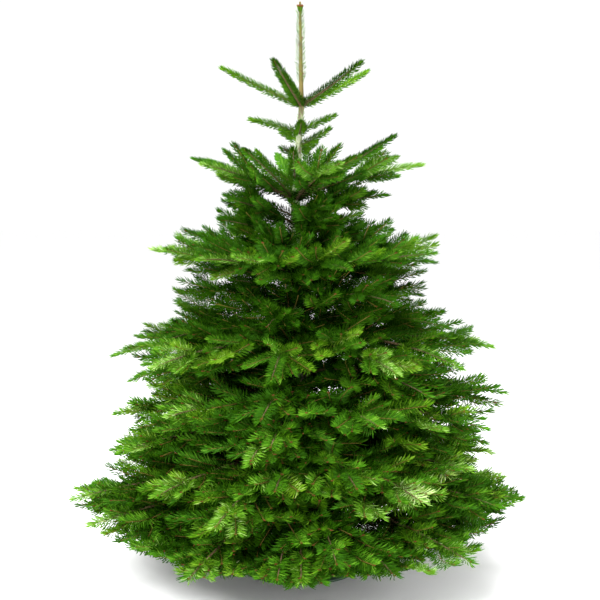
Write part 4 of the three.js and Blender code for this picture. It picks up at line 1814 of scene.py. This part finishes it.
@dataclass(frozen=True)
class Screw:
    """A clamping screw: a threaded shank from the trunk outwards, and a cross handle with a knob at either end.

    Its point is how far the first rings draw in, and plain the length of the shank's outer end without a thread.
    """

    height: float = 0.122
    radius: float = 0.005
    end: float = 0.104
    sides: int = 16
    rings: int = 150
    clear: float = 0.0006
    allowance: float = 0.0002
    thread: float = 0.00035
    pitch: float = 0.0015
    point: tuple[float, ...] = (0.003, 0.0016, 0.0006)
    plain: float = 0.018
    chamfer: float = 0.0012
    handle_radius: float = 0.004
    handle_length: float = 0.062
    handle_inset: float = 0.008
    handle_rings: int = 60
    knob_place: float = 0.0265
    knob_length: float = 0.0045
    knob_rise: float = 0.0012
    knob_width: float = 0.004
    knob_end: float = 0.0004

    def build(self, name: str, turn: float, trunk: Trunk, material: Material) -> Piece:
        """Builds the screw.

        The shank's radius is its own plus a fine triangle wave along it, which is the thread's outline. The
        handle's is its own plus a bell curve at either knob, times a quarter circle towards either end.

        Args:
            name: The piece's name.
            turn: Its azimuth, in degrees.
            trunk: The trunk, which the shank ends on.
            material: Its material.

        Returns:
            The piece.
        """
        along = np.linspace(float(trunk.radius(self.height)) + self.clear, self.end, self.rings)
        thread = self.thread * (2 * np.abs(np.mod(along / self.pitch, 1) - 0.5) - 1)
        thread[: len(self.point)] = -np.array(self.point)
        thread[along > self.end - self.plain] = 0.0
        thread[-1] = -self.chamfer
        shank = self.round_bar(along, self.radius - self.allowance + thread)
        across = np.linspace(-self.handle_length / 2, self.handle_length / 2, self.handle_rings)
        past_knob = np.abs(across) - self.knob_place
        ends = np.sqrt(np.maximum(self.knob_end, 1 - np.maximum(0, past_knob) ** 2 / self.knob_length**2))
        knob = self.knob_rise * np.exp(-((past_knob / self.knob_width) ** 2))
        bar = self.round_bar(across, (self.handle_radius + knob - self.allowance) * ends)
        bar = bar[:, [1, 0, 2]] * np.array([-1, 1, 1]) + np.array([self.end - self.handle_inset, 0, 0])
        points = np.concatenate([shank, bar]) + np.array([0, 0, self.height])
        faces = closed_tube_faces(self.rings, self.sides)
        faces += closed_tube_faces(self.handle_rings, self.sides, len(shank))
        return make_piece(name, turned(points, turn), faces, [material])

    def round_bar(self, along: Array, radius: Array) -> Array:
        """Works out the corners of a round bar along +X.

        Args:
            along: Where its rings lie.
            radius: Their radius.

        Returns:
            The corners, a ring for each place.
        """
        angle = np.linspace(0, 2 * np.pi, self.sides, endpoint=False)
        y, z = radius[:, None] * np.cos(angle), radius[:, None] * np.sin(angle)
        return np.stack([np.broadcast_to(along[:, None], y.shape), y, z], axis=-1).reshape(-1, 3)


@dataclass
class Stand:
    """The stand: a cast round base with a tube, ribs and nuts, and three clamping screws with cross handles."""

    radius: float = 0.205
    hub_radius: float = 0.070
    hub_height: float = 0.026
    hub_crown: float = 0.0006
    rim_height: float = 0.009
    rim_round: float = 0.0035
    rim_inset: float = 0.004
    shoulder: float = 0.045
    shoulder_rise: float = 0.005
    tube_radius: float = 0.054
    tube_wall: float = 0.005
    tube_top: float = 0.152
    tube_sunk: float = 0.001
    lip: float = 0.0025
    lip_inside: float = 0.006
    weld: float = 0.004
    ribs: int = 3
    rib_reach: float = 0.150
    rib_end: float = 0.019
    rib_top: float = 0.105
    rib_shoulder: float = 0.008
    rib_width: float = 0.008
    rib_bevel: float = 0.0012
    screw: Screw = Screw()
    screws: int = 3
    first_screw: float = 90
    nut_radius: float = 0.012
    nut_length: float = 0.014
    nut_sunk: float = 0.004
    nut_bevel: float = 0.0008
    cast_bevel: float = 0.0006
    bevel_angle: float = 40
    bevel_steps: int = 2
    rim_steps: int = 7
    slope_steps: int = 9
    weld_steps: int = 6
    lip_steps: int = 13
    lip_past: float = 0.5
    sides: int = 96

    def build(self, trunk: Trunk) -> list[Piece]:
        """Builds the base and the screws.

        Args:
            trunk: The trunk, which the screws end on.

        Returns:
            The pieces.
        """
        enamel, steel = Enamel().material(), Steel().material()
        pieces = [self.revolved("stand_base_plate", self.base_profile(), enamel)]
        pieces.append(self.revolved("stand_tube", self.tube_profile(), enamel))
        pieces += [self.rib(number, enamel) for number in range(self.ribs)]
        pieces += [self.nut(number, enamel) for number in range(self.screws)]
        for piece in pieces:
            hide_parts("stand_base")
        for number in range(self.screws):
            screw = self.screw.build(f"stand_screw_{number + 1}_bar", self.screw_turn(number), trunk, steel)
            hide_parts(f"stand_screw_{number + 1}")
            pieces.append(screw)
        return pieces

    def screw_turn(self, number: int) -> float:
        """Returns a screw's azimuth in degrees."""
        return self.first_screw + 360 / self.screws * number

    def base_profile(self) -> list[Pair]:
        """Works out the base's outline, with rounded edges.

        Returns:
            Distances and heights, from the middle below to the middle above.
        """
        rim = self.rounded(self.radius, self.rim_height, self.rim_round, self.rim_steps)
        shoulder = (self.radius - self.shoulder, self.rim_height + self.shoulder_rise)
        slope = self.eased(shoulder, (self.hub_radius, self.hub_height), self.slope_steps)
        low = [(0.0, 0.0), (self.radius - self.rim_inset, 0.0)]
        return [*low, *rim, *slope, (self.tube_radius, self.hub_height + self.hub_crown), (0.0, self.hub_height)]

    def rounded(self, distance: float, height: float, size: float, steps: int) -> list[Pair]:
        """Works out the two quarter circles that round an upright edge from the floor to a height.

        Args:
            distance: How far out the edge lies.
            height: How high it reaches.
            size: The circles' radius.
            steps: Points of either circle.

        Returns:
            Distances and heights, from below to above.
        """
        turn = np.linspace(0, math.pi / 2, steps)
        bottom = [(distance - size + size * math.sin(a), size - size * math.cos(a)) for a in turn]
        top = [(distance - size + size * math.cos(a), height - size + size * math.sin(a)) for a in turn]
        return bottom + top

    def eased(self, start: Pair, end: Pair, steps: int) -> list[Pair]:
        """Works out points whose height follows a smooth step.

        Args:
            start: The first point.
            end: The last point.
            steps: How many there are.

        Returns:
            Distances and heights.
        """
        shares = np.linspace(0, 1, steps)
        return [
            (start[0] + (end[0] - start[0]) * s, start[1] + (end[1] - start[1]) * s * s * (3 - 2 * s)) for s in shares
        ]

    def tube_profile(self) -> list[Pair]:
        """Works out the tube's outline: a weld and the outside up, a rolled lip, and the inside down.

        Returns:
            Distances and heights, the first and the last the same.
        """
        outer, inner, top = self.tube_radius, self.tube_radius - self.tube_wall, self.tube_top
        low = self.hub_height - self.tube_sunk
        foot = [
            (outer + self.weld * (1 - math.sin(a)), self.hub_height + self.weld * (1 - math.cos(a)))
            for a in np.linspace(0, math.pi / 2, self.weld_steps)
        ]
        lip = [
            (outer - self.lip + self.lip * math.cos(a), top - self.lip + self.lip * math.sin(a))
            for a in np.linspace(-self.lip_past, math.pi + self.lip_past, self.lip_steps)
        ]
        return [(inner, low), (outer, low), *foot, *lip, (inner, top - self.lip_inside), (inner, low)]

    def revolved(self, name: str, profile: list[Pair], material: Material) -> Piece:
        """Builds a body of revolution.

        A ring of corners is made for each point of the outline, and the outline runs up the outside, so the faces
        look outwards. An outline that starts and ends on the axis is closed there by flat faces, and one that ends
        where it starts joins itself.

        Args:
            name: The piece's name.
            profile: Distances and heights.
            material: Its material.

        Returns:
            The piece.
        """
        outline = np.array(profile)
        looped = bool(np.allclose(outline[0], outline[-1]))
        inner = outline[:-1] if looped else outline[1:-1]
        angle = np.linspace(0, 2 * np.pi, self.sides, endpoint=False)
        distance, height = inner[:, 0:1], np.broadcast_to(inner[:, 1:2], (len(inner), self.sides))
        points = np.stack([distance * np.cos(angle), distance * np.sin(angle), height], axis=-1).reshape(-1, 3)
        faces = closed_tube_faces(len(inner), self.sides, looped=looped)
        return self.softened(make_piece(name, points, faces, [material]), self.cast_bevel)

    def softened(self, piece: Piece, width: float) -> Piece:
        """Adds a small bevel on the edges that are sharp, whose new faces take the normals of the faces beside them.

        Args:
            piece: The piece.
            width: The bevel's width.

        Returns:
            The same piece.
        """
        bevel = piece.modifiers.new("edges", "BEVEL")
        bevel.width, bevel.segments, bevel.limit_method = width, self.bevel_steps, "ANGLE"
        bevel.angle_limit, bevel.harden_normals = math.radians(self.bevel_angle), True
        return piece

    def prism(
        self, name: str, outline: Array, ends: Pair, turn: float, material: Material, lie: Lie, bevel: float,
    ) -> Piece:
        """Builds a prism.

        Args:
            name: The piece's name.
            outline: Corners of one face, to the left as seen against the prism's axis.
            ends: Where its two faces lie on that axis.
            turn: Azimuth that the prism is turned to, in degrees.
            material: Its material.
            lie: Whether the outline's first numbers run along the stand's radius or across it.
            bevel: Width of its edges' bevel.

        Returns:
            The piece.
        """
        flat = []
        for place in ends:
            level = np.full(len(outline), place)
            along, across = (outline[:, 0], -level) if lie is Lie.ALONG else (level, outline[:, 0])
            flat.append(np.stack([along, across, outline[:, 1]], axis=-1))
        points = turned(np.concatenate(flat), turn)
        piece = make_piece(name, points, closed_tube_faces(2, len(outline)), [material], smooth=False)
        return self.softened(piece, bevel)

    def rib(self, number: int, material: Material) -> Piece:
        """Builds a rib that stays the tube on the base.

        Args:
            number: Which rib.
            material: Its material.

        Returns:
            The piece.
        """
        start, half = self.tube_radius - self.tube_wall / 2, self.rib_width / 2
        outline = np.array([
            (start, self.rim_height), (self.rib_reach, self.rim_height), (self.rib_reach, self.rib_end),
            (self.tube_radius + self.rib_shoulder, self.rib_top), (start, self.rib_top),
        ])
        turn = self.first_screw + 360 / self.ribs * (number + 0.5)
        name = f"stand_rib_{number + 1}"
        return self.prism(name, outline, (-half, half), turn, material, Lie.ALONG, self.rib_bevel)

    def nut(self, number: int, material: Material) -> Piece:
        """Builds the six sided nut that a screw runs in, welded to the tube.

        Args:
            number: Which nut.
            material: Its material.

        Returns:
            The piece.
        """
        angle = np.arange(6) * math.pi / 3
        across, up = self.nut_radius * np.cos(angle), self.screw.height + self.nut_radius * np.sin(angle)
        ends = (self.tube_radius - self.nut_sunk, self.tube_radius + self.nut_length)
        outline, turn = np.stack([across, up], axis=-1), self.screw_turn(number)
        return self.prism(f"stand_nut_{number + 1}", outline, ends, turn, material, Lie.ACROSS, self.nut_bevel)


@dataclass(frozen=True)
class Lamp:
    """A square soft light: where it stands, how wide it is, and its watts."""

    name: str
    place: Triple
    size: float
    watts: float


@dataclass(frozen=True)
class Studio:
    """The pale floor, the soft lights and the camera at the photograph's viewing angle."""

    eye: Triple = (0.0, -4.0, 1.3)
    aim: Triple = (0.0, 0.0, 0.913)
    lens: float = 72.0
    sensor: float = 36.0
    floor_size: float = 60.0
    floor_drop: float = 0.0005
    floor_colour: Triple = (0.95, 0.95, 0.95)
    floor_shade: Triple = (0.93, 0.93, 0.93)
    world: float = 1.06
    lamp_aim: Triple = (0.0, 0.0, 0.8)
    lamps: tuple[Lamp, ...] = (
        Lamp("key_light", (-2.4, -3.4, 3.6), 2.2, 400.0),
        Lamp("fill_light", (3.0, -3.2, 1.6), 2.4, 150.0),
        Lamp("top_light", (0.3, 1.2, 4.6), 3.0, 260.0),
    )

    def build(self) -> None:
        """Builds the studio."""
        scene = bpy.context.scene
        camera = bpy.data.cameras.new("camera")
        camera.lens, camera.sensor_width = self.lens, self.sensor
        scene.camera = self.add_aimed("camera", camera, self.eye, self.aim)
        self.build_floor()
        for lamp in self.lamps:
            light = bpy.data.lights.new(lamp.name, "AREA")
            light.size, light.energy = lamp.size, lamp.watts
            self.add_aimed(lamp.name, light, lamp.place, self.lamp_aim)
        world = bpy.data.worlds.new("studio")
        world.use_nodes = True
        world.node_tree.nodes["Background"].inputs[0].default_value = (1, 1, 1, 1)
        world.node_tree.nodes["Background"].inputs[1].default_value = self.world
        scene.world = world
        scene.view_settings.view_transform = "Standard"

    def add_aimed(self, name: str, data: Any, place: Triple, aim: Triple) -> bpy.types.Object:
        """Puts a camera or a light into the scene.

        Args:
            name: Its name.
            data: The camera or the light.
            place: Where it stands.
            aim: What it faces.

        Returns:
            Its object.
        """
        thing = bpy.data.objects.new(name, data)
        thing.location = place
        way = Vector(aim) - Vector(place)
        thing.rotation_euler = way.to_track_quat("-Z", "Y").to_euler()
        bpy.context.scene.collection.objects.link(thing)
        return thing

    def build_floor(self) -> None:
        """Lays the floor just under the stand."""
        half = self.floor_size / 2
        points = np.array([(x * half, y * half, -self.floor_drop) for x, y in ((-1, -1), (1, -1), (1, 1), (-1, 1))])
        graph = Graph("floor_paint")
        mottle = graph.noise(graph.place(), scale=3.0)
        material = graph.finish(base_color=graph.mix(mottle, self.floor_colour, self.floor_shade), roughness=0.9)
        make_piece("floor", points, [np.array([[0, 1, 2, 3]])], [material])


def main() -> None:
    """Builds the tree, its stand and the studio."""
    trunk = Trunk()
    crown = Crown(trunk)
    crown.grow()
    pieces = [*Wood(trunk, crown).build(), *Foliage(crown).build(), *Stand().build(trunk)]
    for piece in pieces:
        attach(piece, "root")
        LOG.info("%s: %d faces", piece.name, len(piece.data.polygons))
    Studio().build()


if __name__ == "__main__":
    main()
